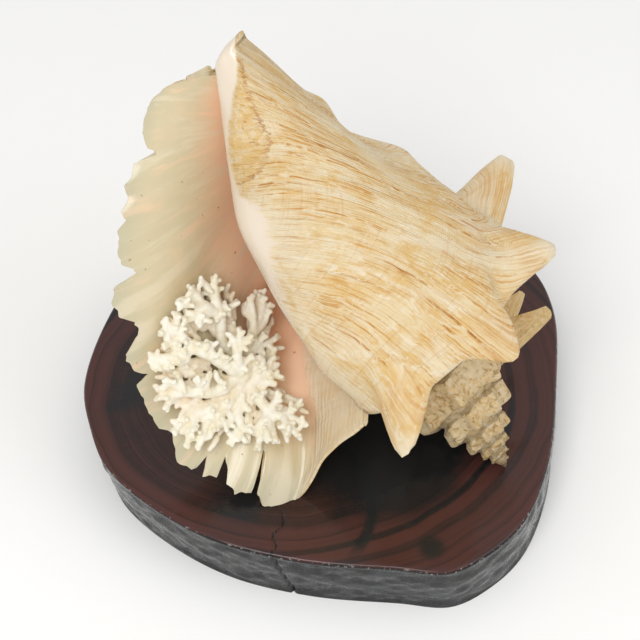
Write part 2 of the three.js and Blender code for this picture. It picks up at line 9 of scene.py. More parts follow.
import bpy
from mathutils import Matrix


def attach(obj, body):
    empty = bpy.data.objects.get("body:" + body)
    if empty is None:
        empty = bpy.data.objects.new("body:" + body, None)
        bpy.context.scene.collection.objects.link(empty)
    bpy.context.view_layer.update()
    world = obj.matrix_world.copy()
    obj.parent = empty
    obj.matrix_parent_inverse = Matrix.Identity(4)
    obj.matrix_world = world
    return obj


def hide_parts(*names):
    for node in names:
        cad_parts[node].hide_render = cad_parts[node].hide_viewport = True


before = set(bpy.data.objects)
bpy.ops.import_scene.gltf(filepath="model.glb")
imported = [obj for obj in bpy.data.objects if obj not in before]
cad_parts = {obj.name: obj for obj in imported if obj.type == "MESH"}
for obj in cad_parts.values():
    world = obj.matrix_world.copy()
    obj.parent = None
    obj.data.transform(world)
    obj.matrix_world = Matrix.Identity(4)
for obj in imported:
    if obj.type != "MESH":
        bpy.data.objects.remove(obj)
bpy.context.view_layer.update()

import math
import random

import bmesh
import bpy
import numpy as np
from bpy.props import FloatProperty, FloatVectorProperty, IntProperty, PointerProperty
from mathutils import Vector, kdtree

bl_info = {
    "name": "Conch shell on stand",
    "version": (1, 0, 0),
    "blender": (4, 5, 0),
    "location": "3D View > Sidebar > Conch",
    "description": "Builds a conch shell with a coral on a varnished log slice",
    "category": "Object",
}

MM = 0.001
BODY = "root"

# Shell

# Where the tip of the spire lies, how steeply and in which direction the spire points, and the roll about it.
APEX_PLACE = np.array([90.7, -46.3, 30.4])
APEX_HEIGHT = -2.0
CANAL_RISE = 48.0
CANAL_HEADING = 141.4
ROLL = 211.9

# Growth for each turn, and radius and height of the shoulder and the place below it on a whorl of size 1.
WHORL_GROWTH = 1.85
SPIRE_GROWTH = 1.5
SPIRE_START = 520.0
SHOULDER = (58.0, -92.0)
BELOW_SHOULDER = (58.5, -103.0)
SPIRE_SHOULDER = (44.0, -90.0)
SPIRE_BELOW = (50.0, -121.0)
SPIRE_BLEND = (380.0, 560.0)
SPIRE_LEAN = 0.42
RAMP_HOLLOW = (-2.2, -1.0)

# End of the canal: angle, radius and height of its tip, the dome that closes it, and its bend towards the lip.
CANAL_TIP = (190.0, 6.5, -246.3)
CANAL_DOME_RINGS = 7
CANAL_DOME_CORD = 1.5
CANAL_TIP_CORD = 12.0
CANAL_BEND = 5.5
CANAL_BEND_START = -185.0
CANAL_BEND_LENGTH = 60.0

# Radius and height of the last whorl's side, from under the shoulder down to the canal, at each angle.
SIDE_TURNS = (0, 90, 180, 270, 360, 450, 540)
SIDE_RIBS = (
    ((70, -150), (60, -172), (46, -195), (28, -218), (13, -240)),
    ((64, -132), (57, -158), (41.5, -184), (24.5, -214), (12, -241)),
    ((51, -119), (43.5, -143), (28.5, -168), (16.5, -203), (10, -244)),
    ((50.5, -106), (46.5, -138), (38, -172), (22, -208), (9, -243)),
    ((48, -98), (45, -138), (39.5, -178), (26, -211), (9, -240)),
    ((36, -85), (28, -115), (19, -155), (12, -195), (8, -238)),
    ((28, -75), (20, -105), (13, -145), (9, -190), (7, -236)),
)
RIB_SHARES = (0, 0.10, 0.20, 0.27, 0.38, 0.52, 0.66, 0.82, 1)
SHOULDER_SHARE = 0.20
SUTURE_SHARE = 0.27
ROOT_SHARE = -0.03

# Spines: angle, length outwards, length towards the apex, half the width at the base and bluntness. The
# shoulder is drawn in where the length outwards is below 0.
LARGE_SPINES = (
    (301, 26, 14, 23, 1.22), (243, 9, 16, 23, 1.18), (220, -9, 0, 15, 1.18), (195, 19, 2, 21, 1.25),
    (146, 42, -16, 17, 1.5), (96, 44, -6, 23, 1.18), (46, 38, 0, 23, 1.18), (464, 40, 4, 20, 1.18),
    (500, 49, -7, 9, 1.5), (527.5, 38, -2, 8.5, 1.5), (585, 6, 2, 14, 1.18),
)
SPIRE_SPINES = {"first": 636, "spacing": 45, "out": 8, "up": 0, "half_width": 17, "bluntness": 1.25}
SHOULDER_ARC = 66.7
SPINE_ABOVE = 15.0
SPINE_BELOW = 36.0
SPINE_ROUNDING = 0.012
SPINE_SHARPNESS = 1.5
SPINE_CAP = 0.93
SPINE_CAP_FROM = 0.3
SPINE_CAP_HARDNESS = 14.0
SPINE_FULL_WIDTH = 15.0
SPINE_FULL_LENGTH = 16.0
SHARE_LENGTH = 215.0

# Spiral cords: how far they fan out, the angles over which the front and the climb begin and end, the shares
# over which the fan closes at the canal, and where they are drawn together.
CORD_FAN = 95.0
CORD_FRONT = ((140, 300), (350, 420))
CORD_CLIMB = ((175, 360), (360, 420))
CORD_CLOSING = (0.40, 0.85)
CORD_CLOSED = 0.85
CORD_SQUEEZE = 0.85
CORD_EASE_FROM = 0.3
CORD_EASE_LENGTH = 0.45
CORD_RUN = 0.83
CORD_SLOWED = 0.6
CORD_DROP = 0.9

# Swellings and hollows of the side: angle, share, height, and half the width in degrees and in share.
KNOBS = (
    (156, 0.605, 5.0, 26, 0.04), (158, 0.715, -4.5, 30, 0.035), (156, 0.80, 3.0, 26, 0.03),
    (120, 0.60, 4.0, 14, 0.04), (90, 0.62, 3.0, 12, 0.04), (348, 0.60, 3.2, 34, 0.13),
)

# Free wall: the last part of the whorl, hollow inside, which opens into the flared lip.
WALL_START = 200
WALL_ROOT = 8
ROOT_SUNK = 1.5
START_SUNK = -0.03
FLARE_START = 60.0
FLARE_TURN = 75.0
FLARE_SPINE_OUT = (0.64, 0.77)
FLARE_LOOK_AHEAD = 0.5
WALL_THICKNESS = 3.6
EDGE_THICKNESS = 1.3

# Edge of the flare: share, place in the shell's frame and the direction in which the lip runs out there.
LIP_EDGE = (
    (0, (45, -27, -70), (0.3, -1, 0.1)),
    (0.07, (68, -8, -61), (0.9, -0.8, 0.3)),
    (0.14, (90, 4, -46), (0.8, -0.3, 0.5)),
    (0.24, (111, 3, -60), (1, -0.15, 0.5)),
    (0.33, (130, 8, -80), (1, -0.1, 0.2)),
    (0.42, (130, 10, -116), (1, 0, -0.1)),
    (0.52, (122, 8, -154), (1, 0.05, -0.2)),
    (0.60, (109, 6, -181), (1, 0.05, -0.25)),
    (0.69, (90, 6, -204), (1, 0.05, -0.3)),
    (0.79, (66, 8, -227), (1, 0.05, -0.3)),
    (0.87, (45, 8, -243), (1, 0, -0.25)),
    (0.93, (29, 8, -243), (1, -0.1, -0.1)),
    (1, (13, 9, -237), (1, -0.3, 0)),
)

# Teeth of the lip: share along the edge, and depth of the cut there as a part of the flare's width.
LIP_TEETH = (
    (0, 0), (0.07, 0), (0.14, 0), (0.175, -0.02), (0.213, -0.02), (0.231, 0.03), (0.238, 0.2), (0.244, 0.03),
    (0.262, 0.01), (0.284, 0.05), (0.305, 0.16), (0.308, 0.07), (0.325, 0.05), (0.338, 0.13), (0.342, 0.05),
    (0.366, 0.02), (0.395, 0.07), (0.41, 0.03), (0.433, 0.025), (0.452, 0.03), (0.472, 0.03), (0.477, 0.09),
    (0.49, 0.04), (0.513, 0.02), (0.528, 0.11), (0.545, 0.11), (0.56, 0.04), (0.582, 0.01), (0.602, 0.03),
    (0.606, 0.15), (0.616, 0.14), (0.628, 0.07), (0.647, 0.04), (0.67, 0.03), (0.682, 0.02), (0.694, 0.06),
    (0.708, 0.02), (0.722, 0.06), (0.745, 0.01), (0.755, 0.05), (0.774, 0.05), (0.78, 0.24), (0.793, 0.13),
    (0.815, 0.06), (0.835, 0.04), (0.868, 0.03), (0.88, 0.06), (0.897, 0.05), (0.91, 0.09), (0.92, 0.2),
    (0.945, 0.33), (0.97, 0.4), (1, 0),
)

# Border of the glaze on the body whorl: share, and the angle beyond which the glaze covers it.
GLAZE_BORDER = (
    (0, 345), (0.30, 345), (0.45, 344), (0.55, 333), (0.60, 322), (0.66, 317), (0.69, 322), (0.71, 338),
    (0.795, 342), (0.84, 334), (0.915, 312), (0.97, 274), (1, 250),
)
GLAZE_EDGE_WIDTH = 10.0
GLAZE_TOP_END = 400.0
GLAZE_END = 561.0
NEAR_SPINE = 0.08
# Right-hand edge of the ochre patch beside the glaze near the canal.
PATCH_BORDER = (
    (0, 420), (0.70, 420), (0.735, 312), (0.79, 294), (0.86, 291), (0.93, 282), (0.97, 262), (1, 258),
)
# Border of the fold at the upper corner of the lip that looks like the outside: step of the flare, and share.
FOLD_BORDER = ((0, 0.15), (0.2, 0.145), (0.6, 0.115), (0.8, 0.12), (1, 0.15))
FOLD_EDGE_WIDTH = 0.03
# Values of the surface where there is neither glaze nor patch.
BARE = {"glaze": -5.0, "patch": -1.0}

# Low swells: height, degrees of one swell, swells from the suture to the canal, and seed.
BODY_SWELL = (0.5, 11.0, 30, 3)
SPINE_CRUST = (0.8, 1.6, 140, 12)
SPINE_CRUST_RISE = (0.6, 0.95)
SPIRE_CRUST = (1.1, 5.0, 55, 9)
# Folds of the lip, which run to its edge: height, where they begin and end, then waves outwards, waves along
# the edge and seed.
FOLD_HEIGHT = 0.36
FOLD_RISE = (0.45, 1.0)
FOLD_WAVES = (3, 95, 8)
# Small chips of the lip's edge: depth, chips along the edge, seed, and the shares over which they begin.
LIP_CHIPS = 0.014
CHIP_WAVES = (230, 31)
CHIP_RISE = (0.16, 0.2)

# Rows and columns of the surfaces.
COLUMNS_PER_TURN = 144
SPIRE_TURNS = 5
UPPER_ROWS = 24
LOWER_ROWS = 60
WALL_STEP = 3.0
FLARE_ROWS = 38
FLARE_CROWDING = 0.9
EDGE_COLUMNS = 250
LEAST_COLUMN = 0.0009
SHELL_SHARP_ANGLE = math.radians(48)


def smooth_through(keys, values, at):
    """A smooth curve through values given at keys, at many places at once."""
    keys = np.asarray(keys, float)
    values = np.asarray(values, float)
    x = np.clip(np.asarray(at, float), keys[0], keys[-1])
    k = np.clip(np.searchsorted(keys, x, side="right") - 1, 0, len(keys) - 2)
    spans = np.diff(keys)
    column = (-1,) + (1,) * (values.ndim - 1)
    slopes = np.diff(values, axis=0) / spans.reshape(column)
    tangents = np.empty_like(values)
    tangents[0] = slopes[0]
    tangents[-1] = slopes[-1]
    before = spans[:-1].reshape(column)
    after = spans[1:].reshape(column)
    tangents[1:-1] = (slopes[:-1] * after + slopes[1:] * before) / (before + after)
    tail = x.shape + (1,) * (values.ndim - 1)
    span = spans[k].reshape(tail)
    t = ((x - keys[k]) / spans[k]).reshape(tail)
    return hermite(t, values[k], span * tangents[k], values[k + 1], span * tangents[k + 1])


def hermite(t, start, start_slope, end, end_slope):
    square = t * t
    cube = square * t
    return ((2 * cube - 3 * square + 1) * start + (cube - 2 * square + t) * start_slope
            + (3 * square - 2 * cube) * end + (cube - square) * end_slope)


def smoothstep(x, low, high):
    t = np.clip((x - low) / (high - low), 0, 1)
    return t * t * (3 - 2 * t)


def angle_between(a, b):
    return np.abs(np.angle(np.exp(1j * (a - b))))


def unit(way):
    return way / np.linalg.norm(way)


def growth(angle):
    """Size of the whorl at an angle. It shrinks by one factor a turn, and more slowly on the spire."""
    angle = np.asarray(angle, float)
    body = np.minimum(angle, SPIRE_START)
    spire = np.maximum(angle - SPIRE_START, 0)
    return WHORL_GROWTH ** ((180 - body) / 360) * SPIRE_GROWTH ** (-spire / 360)


def whorl_point(angle, body, spire):
    share = smoothstep(angle, *SPIRE_BLEND)[..., None]
    point = (np.asarray(body) * (1 - share) + np.asarray(spire) * share) * growth(angle)[..., None]
    lean = SPIRE_LEAN * share[..., 0] * point[..., 0] * np.sin(np.radians(angle))
    return np.stack([point[..., 0], point[..., 1] + lean], -1)


def rib_points(angle):
    """Radius and height of the nine points of the rib at each angle."""
    angle = np.asarray(angle, float)
    suture = whorl_point(angle + 360, BELOW_SHOULDER, SPIRE_BELOW)
    shoulder = whorl_point(angle, SHOULDER, SPIRE_SHOULDER)
    below = whorl_point(angle, BELOW_SHOULDER, SPIRE_BELOW)
    ramp = (suture + shoulder) / 2 + np.asarray(RAMP_HOLLOW) * growth(angle)[..., None]
    side = smooth_through(SIDE_TURNS, SIDE_RIBS, angle)
    return np.concatenate([np.stack([suture, ramp, shoulder, below], -2), side], -2)


def rib_grid(angle, shares):
    """Radius and height over angles and shares. A share below 0 runs on into the older whorl."""
    points = np.moveaxis(rib_points(angle), 1, 0)
    shares = np.asarray(shares, float)
    grid = smooth_through(RIB_SHARES, points, np.abs(shares))
    mirrored = 2 * points[0][None] - grid
    grid = np.where((shares < 0)[:, None, None], mirrored, grid)
    return np.moveaxis(grid, 1, 0)


def spines():
    found = list(LARGE_SPINES)
    young = SPIRE_SPINES
    for angle in range(young["first"], WALL_START + 360 * (SPIRE_TURNS + 1), young["spacing"]):
        size = float(growth(angle) / growth(540))
        found.append((angle, young["out"] * size, young["up"] * size, young["half_width"],
                      young["bluntness"]))
    return found


def spine_lift(angle, shares):
    """How far the spines lift the surface outwards and towards the apex, and how near a tip each point is."""
    angle = np.asarray(angle, float)[:, None]
    shares = np.asarray(shares, float)[None, :]
    out = np.zeros(np.broadcast(angle, shares).shape)
    up = np.zeros_like(out)
    nearness = np.zeros_like(out)
    for centre, length, rise, half_width, bluntness in spines():
        across = np.radians(angle - centre) * SHOULDER_ARC / half_width
        slim = min(1.0, half_width / SPINE_FULL_WIDTH)
        reach = np.where(shares < SHOULDER_SHARE, SPINE_ABOVE, SPINE_BELOW) * slim
        along = (shares - SHOULDER_SHARE) * SHARE_LENGTH / reach
        distance = np.sqrt(across ** 2 + along ** 2 + SPINE_ROUNDING)
        lift = bluntness * np.clip(1 - distance, 0, 1) ** SPINE_SHARPNESS
        capped = SPINE_CAP - np.log1p(np.exp((SPINE_CAP - lift) * SPINE_CAP_HARDNESS)) / SPINE_CAP_HARDNESS
        lift = np.where(lift > SPINE_CAP_FROM, np.maximum(capped, 0), lift)
        out += length * lift
        up += rise * lift
        full = min(1.0, float(growth(centre)) * max(length, 0) / SPINE_FULL_LENGTH)
        nearness = np.maximum(nearness, lift * full)
    return out, up, nearness


def knobs(angle, shares):
    angle = np.asarray(angle, float)[:, None]
    shares = np.asarray(shares, float)[None, :]
    total = np.zeros(np.broadcast(angle, shares).shape)
    for centre, share, height, half_turn, half_share in KNOBS:
        across = (angle - centre) / half_turn
        total += height * np.exp(-across ** 2 - ((shares - share) / half_share) ** 2)
    return total


def place(angle, radius, height):
    """Points in the shell's frame. The canal bends a little towards the lip at its end."""
    past = np.maximum(0, CANAL_BEND_START - height) / CANAL_BEND_LENGTH
    turn = np.radians(np.asarray(angle, float))
    if np.ndim(radius) > np.ndim(turn):
        turn = turn[:, None]
    return np.stack([radius * np.cos(turn) + CANAL_BEND * past * past, radius * np.sin(turn), height], -1)


def whorl_grid(angle, shares, spined):
    grid = rib_grid(angle, shares)
    out, up, nearness = spine_lift(angle, shares)
    keep = 1.0 if spined else 0.0
    radius = grid[..., 0] + keep * out + knobs(angle, shares)
    return place(angle, radius, grid[..., 1] + keep * up), nearness


def flare_grid(steps, shares, spined):
    """Points of the flare over steps, from where it leaves the whorl (0) to its edge (1), and shares."""
    inner = np.maximum(shares, 0)
    start = whorl_grid([FLARE_START], shares, False)[0][0]
    younger = whorl_grid([FLARE_START - FLARE_LOOK_AHEAD], shares, False)[0][0]
    keys, places, ways = zip(*LIP_EDGE)
    edge = smooth_through(keys, places, inner)
    ahead = smooth_through(keys, [unit(np.array(way)) for way in ways], inner)
    ahead /= np.linalg.norm(ahead, axis=1, keepdims=True)
    length = np.linalg.norm(edge - start, axis=1, keepdims=True)
    leave = younger - start
    leave = leave / np.linalg.norm(leave, axis=1, keepdims=True) * length
    ahead = ahead * length
    cut = np.interp(inner, *zip(*LIP_TEETH))
    chips, seed = CHIP_WAVES
    cut = cut + LIP_CHIPS * np.abs(waves(inner * chips, 0, seed)) * smoothstep(inner, *CHIP_RISE)
    reached = steps[:, None] * (1 - cut[None] * steps[:, None] ** 4)
    grid = hermite(reached[..., None], start, leave, edge, ahead)
    out, up, nearness = spine_lift(FLARE_START - FLARE_TURN * steps, inner)
    if spined:
        grid = grid + np.stack([out * FLARE_SPINE_OUT[0], out * FLARE_SPINE_OUT[1], up], -1)
    return grid, nearness, reached


def grid_normals(grid):
    along = np.gradient(grid, axis=0)
    across = np.gradient(grid, axis=1)
    normal = np.cross(along, across)
    return normal / np.maximum(np.linalg.norm(normal, axis=-1, keepdims=True), 1e-9)


def waves(x, y, seed):
    """A gentle irregular swell between about -1 and 1."""
    rng = random.Random(seed)
    total = np.zeros(np.broadcast(x, y).shape)
    for _ in range(6):
        total += np.sin(x * rng.uniform(0.6, 1.7) + y * rng.uniform(0.6, 1.7) * rng.choice((-1, 1))
                        + rng.uniform(0, 6.3))
    return total / 4


def swell(kind, angle, shares):
    """Height of one kind of low swell over angles and shares."""
    height, degrees, count, seed = kind
    return height * waves(np.asarray(angle)[:, None] / degrees, np.asarray(shares)[None] * count, seed)


def lifted(grid, height):
    """A surface moved out along its normals by a height at each point."""
    return grid + grid_normals(grid) * height[..., None]


def shell_frame():
    """Turns the shell's own axes, with the spire's axis as the third, into those of the part."""
    rise = math.radians(CANAL_RISE)
    heading = math.radians(CANAL_HEADING)
    roll = math.radians(ROLL)
    flat = math.cos(rise)
    axis = np.array([-flat * math.cos(heading), -flat * math.sin(heading), -math.sin(rise)])
    level = np.array([math.sin(heading), -math.cos(heading), 0.0])
    side = level * math.cos(roll) + np.cross(axis, level) * math.sin(roll)
    return np.stack([side, np.cross(axis, side), axis], 1)


def set_layer(mesh, name, values):
    """Writes one number for each corner of a mesh, for the materials to read."""
    mesh.attributes.new(name, "FLOAT", "POINT").data.foreach_set("value", np.asarray(values, np.float32))


def read_values(data, key, count, width=1):
    values = np.empty(count * width, np.float32)
    data.foreach_get(key, values)
    return values.reshape(count, width)


class Skin:
    """Collects corners with their surface values, and faces, for one closed mesh."""

    LAYERS = ("turn", "share", "lip", "inside", "spine", "glaze", "patch", "fold", "cord", "run", "crack")

    def __init__(self):
        self.points = []
        self.values = []
        self.faces = []
        self.count = 0

    def add(self, points, **values):
        """Adds a block of corners and gives back their numbers in the block's shape."""
        points = np.asarray(points, float)
        shape = points.shape[:-1]
        ids = np.arange(self.count, self.count + int(np.prod(shape, dtype=int))).reshape(shape)
        self.count += ids.size
        self.points.append(points.reshape(-1, 3))
        rows = [np.broadcast_to(values.get(name, 0.0), shape).reshape(-1) for name in self.LAYERS]
        self.values.append(np.stack(rows, 1))
        return ids

    def add_point(self, point, **values):
        return int(self.add(np.array([point], float), **values)[0])

    def quads(self, ids):
        corners = [ids[:-1, :-1], ids[:-1, 1:], ids[1:, 1:], ids[1:, :-1]]
        self.faces.extend(np.stack(corners, -1).reshape(-1, 4).tolist())

    def mesh(self, name, matrix=None, origin=None):
        points = np.concatenate(self.points)
        if matrix is not None:
            points = points @ matrix.T + origin
        faces = []
        for face in self.faces:
            kept = [v for i, v in enumerate(face) if v != face[i - 1]]
            if len(set(kept)) > 2:
                faces.append(kept)
        mesh = bpy.data.meshes.new(name)
        mesh.from_pydata((points * MM).tolist(), [], faces)
        values = np.concatenate(self.values)
        for i, layer in enumerate(self.LAYERS):
            set_layer(mesh, layer, values[:, i])
        mesh.validate()
        return mesh


def beyond(border, angle, shares, lowest=-1.0):
    """From the lowest value up to 1 across a border that is given as an angle for each share."""
    edge = np.interp(shares, *zip(*border))
    return np.clip((np.asarray(angle)[:, None] - edge[None]) / GLAZE_EDGE_WIDTH, lowest, 1)


def glaze_amount(angle, shares, nearness):
    """Above 0 where the glaze covers the body whorl, from -5 to 1 across its border."""
    column = np.asarray(angle)[:, None]
    exposed = (column > GLAZE_TOP_END) & ((shares[None] < SUTURE_SHARE) | (nearness > NEAR_SPINE))
    amount = beyond(GLAZE_BORDER, angle, shares, BARE["glaze"])
    return np.where(exposed | (column > GLAZE_END), BARE["glaze"], amount)


def hump(angle, rise, fall):
    return smoothstep(angle, *rise) * (1 - smoothstep(angle, *fall))


def cord_places(angle, shares):
    """Lengths across and along the spiral cords, which fan out from the canal to the spines."""
    angle = np.asarray(angle, float)[:, None]
    shares = np.asarray(shares, float)[None, :]
    front = hump(angle, *CORD_FRONT)
    spread = 1 - CORD_CLOSED * smoothstep(shares, *CORD_CLOSING)
    t = np.clip((shares - CORD_EASE_FROM) / CORD_EASE_LENGTH, 0, 1)
    level = np.minimum(shares, CORD_EASE_FROM) + CORD_EASE_LENGTH * (t - t ** 3 + t ** 4 / 2)
    squeezed = shares - CORD_SQUEEZE * front * level
    across = SHARE_LENGTH * squeezed - CORD_FAN * spread * hump(angle, *CORD_CLIMB)
    fanned = front * spread
    along = CORD_RUN * angle * (1 - CORD_SLOWED * fanned) + SHARE_LENGTH * shares * CORD_DROP * fanned
    return across, along


def surface_values(angle, shares, nearness, **more):
    """Values of a grid of the outside over angles and shares, as the materials read them."""
    across, along = cord_places(angle, shares)
    return dict(turn=np.asarray(angle)[:, None] / 360, share=shares[None], spine=nearness, cord=across,
                run=along, **more)


def inner_whorls(skin):
    """Spire and inner whorls as one closed surface."""
    turn = COLUMNS_PER_TURN
    upper = np.linspace(0, SUTURE_SHARE, UPPER_ROWS + 1)
    lower = np.linspace(SUTURE_SHARE, 1, LOWER_ROWS + 1)[1:]
    shares = np.concatenate([upper, lower])
    end = turn * (SPIRE_TURNS + 1)
    angles = WALL_START + 360 * np.arange(end + 1) / turn
    first, later = angles[:turn + 1], angles[turn + 1:]
    full, near_full = whorl_grid(first, shares, True)
    full = lifted(full, swell(BODY_SWELL, first, shares))
    full = lifted(full, smoothstep(near_full, *SPINE_CRUST_RISE) * swell(SPINE_CRUST, first, shares))
    rest, near_rest = whorl_grid(later, upper, True)
    rest = lifted(rest, np.minimum(1, growth(later))[:, None] * swell(SPIRE_CRUST, later, upper))
    glaze = glaze_amount(first, shares, near_full)
    patch = beyond(PATCH_BORDER, first, shares)
    grid = np.full((end + 1, len(shares)), -1)
    grid[:turn + 1] = skin.add(full, **surface_values(first, shares, near_full, glaze=glaze, patch=patch))
    grid[turn + 1:, :UPPER_ROWS + 1] = skin.add(rest, **surface_values(later, upper, near_rest, **BARE))
    for i in range(turn, end + 1):
        grid[i, UPPER_ROWS] = grid[i - turn, 0]
    skin.quads(grid[:turn + 1])
    skin.quads(grid[turn:, :UPPER_ROWS + 1])
    apex = skin.add_point((0, 0, APEX_HEIGHT), turn=angles[-1] / 360, **BARE)
    for i in range(end - turn, end):
        skin.faces.append([grid[i, 0], grid[i + 1, 0], apex])
    for j in range(UPPER_ROWS):
        skin.faces.append([grid[end, j], grid[end, j + 1], apex])
    rim = grid[:turn, -1]
    cap_canal(skin, rim, full[:turn, -1], angles[:turn], glaze[:turn, -1], patch[:turn, -1])
    skin.faces.append([grid[turn, -1], rim[0], rim[-1]])
    zip_edges(skin, grid[0], grid[turn, UPPER_ROWS:])


def cap_canal(skin, rim, ring, angles, glaze, patch):
    """Closes the end of the canal with a dome. The ring holds the places of the rim's corners."""
    middle = ring.mean(0)
    top = place(*CANAL_TIP)
    row = np.arange(1, CANAL_DOME_RINGS)[:, None]
    bend = np.radians(row * 90 / CANAL_DOME_RINGS)[..., None]
    dome = middle + (top - middle) * np.sin(bend) + (ring[None] - middle) * np.cos(bend)
    caps = skin.add(dome, turn=angles[None] / 360, share=1.0, glaze=glaze[None], patch=patch[None],
                    cord=SHARE_LENGTH + CANAL_DOME_CORD * row, run=angles[None] * CORD_RUN)
    tip = skin.add_point(top, turn=CANAL_TIP[0] / 360, share=1.0, cord=SHARE_LENGTH + CANAL_TIP_CORD, **BARE)
    rings = np.concatenate([rim[None], caps])
    for i in (*range(len(rim) - 1), -1):
        for k in range(len(rings) - 1):
            skin.faces.append([rings[k, i], rings[k + 1, i], rings[k + 1, i + 1], rings[k, i + 1]])
        skin.faces.append([rings[-1, i], tip, rings[-1, i + 1]])


def zip_edges(skin, young, old):
    """Joins two rows of corners of different length with triangles."""
    a = b = 0
    while a < len(young) - 1 or b < len(old) - 1:
        behind = (a + 1) / (len(young) - 1) <= (b + 1) / (len(old) - 1)
        if b >= len(old) - 1 or (a < len(young) - 1 and behind):
            skin.faces.append([young[a], old[b], young[a + 1]])
            a += 1
        else:
            skin.faces.append([young[a], old[b], old[b + 1]])
            b += 1


def free_wall(skin):
    """The hollow last half turn with its flared, toothed lip, as one closed surface."""
    even = np.linspace(0, 1, EDGE_COLUMNS)
    shares = np.unique(np.round(np.concatenate([[ROOT_SHARE], even, [tooth[0] for tooth in LIP_TEETH]]), 5))
    shares = shares[np.concatenate([[True], np.diff(shares) > LEAST_COLUMN])]
    shares[-1] = 1.0
    angles = np.concatenate([[WALL_START + WALL_ROOT, WALL_START],
                             np.arange(WALL_START - WALL_STEP, FLARE_START - 1, -WALL_STEP)])
    angles[-1] = FLARE_START
    steps = np.linspace(0, 1, FLARE_ROWS + 1)[1:] ** FLARE_CROWDING
    wall_out, near_wall = whorl_grid(angles, shares, True)
    wall_in = whorl_grid(angles, shares, False)[0]
    flare_out, near_flare, reached = flare_grid(steps, shares, True)
    flare_in = flare_grid(steps, shares, False)[0]
    outer = np.concatenate([wall_out, flare_out])
    inner = np.concatenate([wall_in, flare_in])
    rows = np.concatenate([angles, FLARE_START - FLARE_TURN * steps])
    lip = np.concatenate([np.zeros((len(angles), len(shares))), reached])
    normals = grid_normals(inner)
    outwards, along, seed = FOLD_WAVES
    folds = FOLD_HEIGHT * smoothstep(lip, *FOLD_RISE) * waves(lip * outwards, shares[None] * along, seed)
    move = (folds + swell(BODY_SWELL, rows, shares))[..., None] * normals
    outer = outer + move
    inner = inner + move
    sunk = np.zeros(len(outer))
    sunk[:2] = ROOT_SUNK, START_SUNK
    thickness = WALL_THICKNESS + (EDGE_THICKNESS - WALL_THICKNESS) * lip ** 2
    nearness = np.concatenate([near_wall, near_flare])
    values = surface_values(rows, shares, nearness, lip=lip, patch=BARE["patch"])
    outside = skin.add(outer - normals * sunk[:, None, None], **values, glaze=BARE["glaze"])
    fold = (np.interp(lip, *zip(*FOLD_BORDER)) - shares[None]) / FOLD_EDGE_WIDTH
    values["spine"] = 0.0
    inside = skin.add(inner - normals * thickness[..., None], **values, glaze=1.0, inside=1.0,
                      fold=np.clip(fold, -1, 1))
    skin.quads(outside)
    skin.quads(inside[:, ::-1])
    skin.quads(np.stack([outside[:, 0], inside[:, 0]], 1)[:, ::-1])
    skin.quads(np.stack([outside[:, -1], inside[:, -1]], 1))
    skin.quads(np.stack([outside[0], inside[0]], 0)[:, ::-1])
    skin.quads(np.stack([outside[-1], inside[-1]], 0))


def join_solids(first, second, name):
    """Joins two closed meshes into one. Each corner takes its surface values from the nearest old corner."""
    pair = [bpy.data.objects.new(name, mesh) for mesh in (first, second)]
    for piece in pair:
        bpy.context.scene.collection.objects.link(piece)
    union = pair[0].modifiers.new("join", "BOOLEAN")
    union.operation = "UNION"
    union.solver = "MANIFOLD"
    union.object = pair[1]
    joined = evaluated_copy(pair[0])
    bpy.data.objects.remove(pair[1])
    places = np.concatenate([read_values(mesh.vertices, "co", len(mesh.vertices), 3)
                             for mesh in (first, second)])
    tree = kdtree.KDTree(len(places))
    for i, point in enumerate(places):
        tree.insert(point, i)
    tree.balance()
    nearest = [tree.find(vertex.co)[1] for vertex in joined.vertices]
    for layer in Skin.LAYERS:
        values = np.concatenate([read_values(mesh.attributes[layer].data, "value", len(mesh.vertices))
                                 for mesh in (first, second)])
        if layer in joined.attributes:
            joined.attributes.remove(joined.attributes[layer])
        set_layer(joined, layer, values[nearest, 0])
    joined.name = name
    return joined


def evaluated_copy(piece):
    """The mesh of a piece with its modifiers applied. The piece itself is removed."""
    bpy.context.view_layer.update()
    mesh = bpy.data.meshes.new_from_object(piece.evaluated_get(bpy.context.evaluated_depsgraph_get()))
    bpy.data.objects.remove(piece)
    return mesh


# Materials

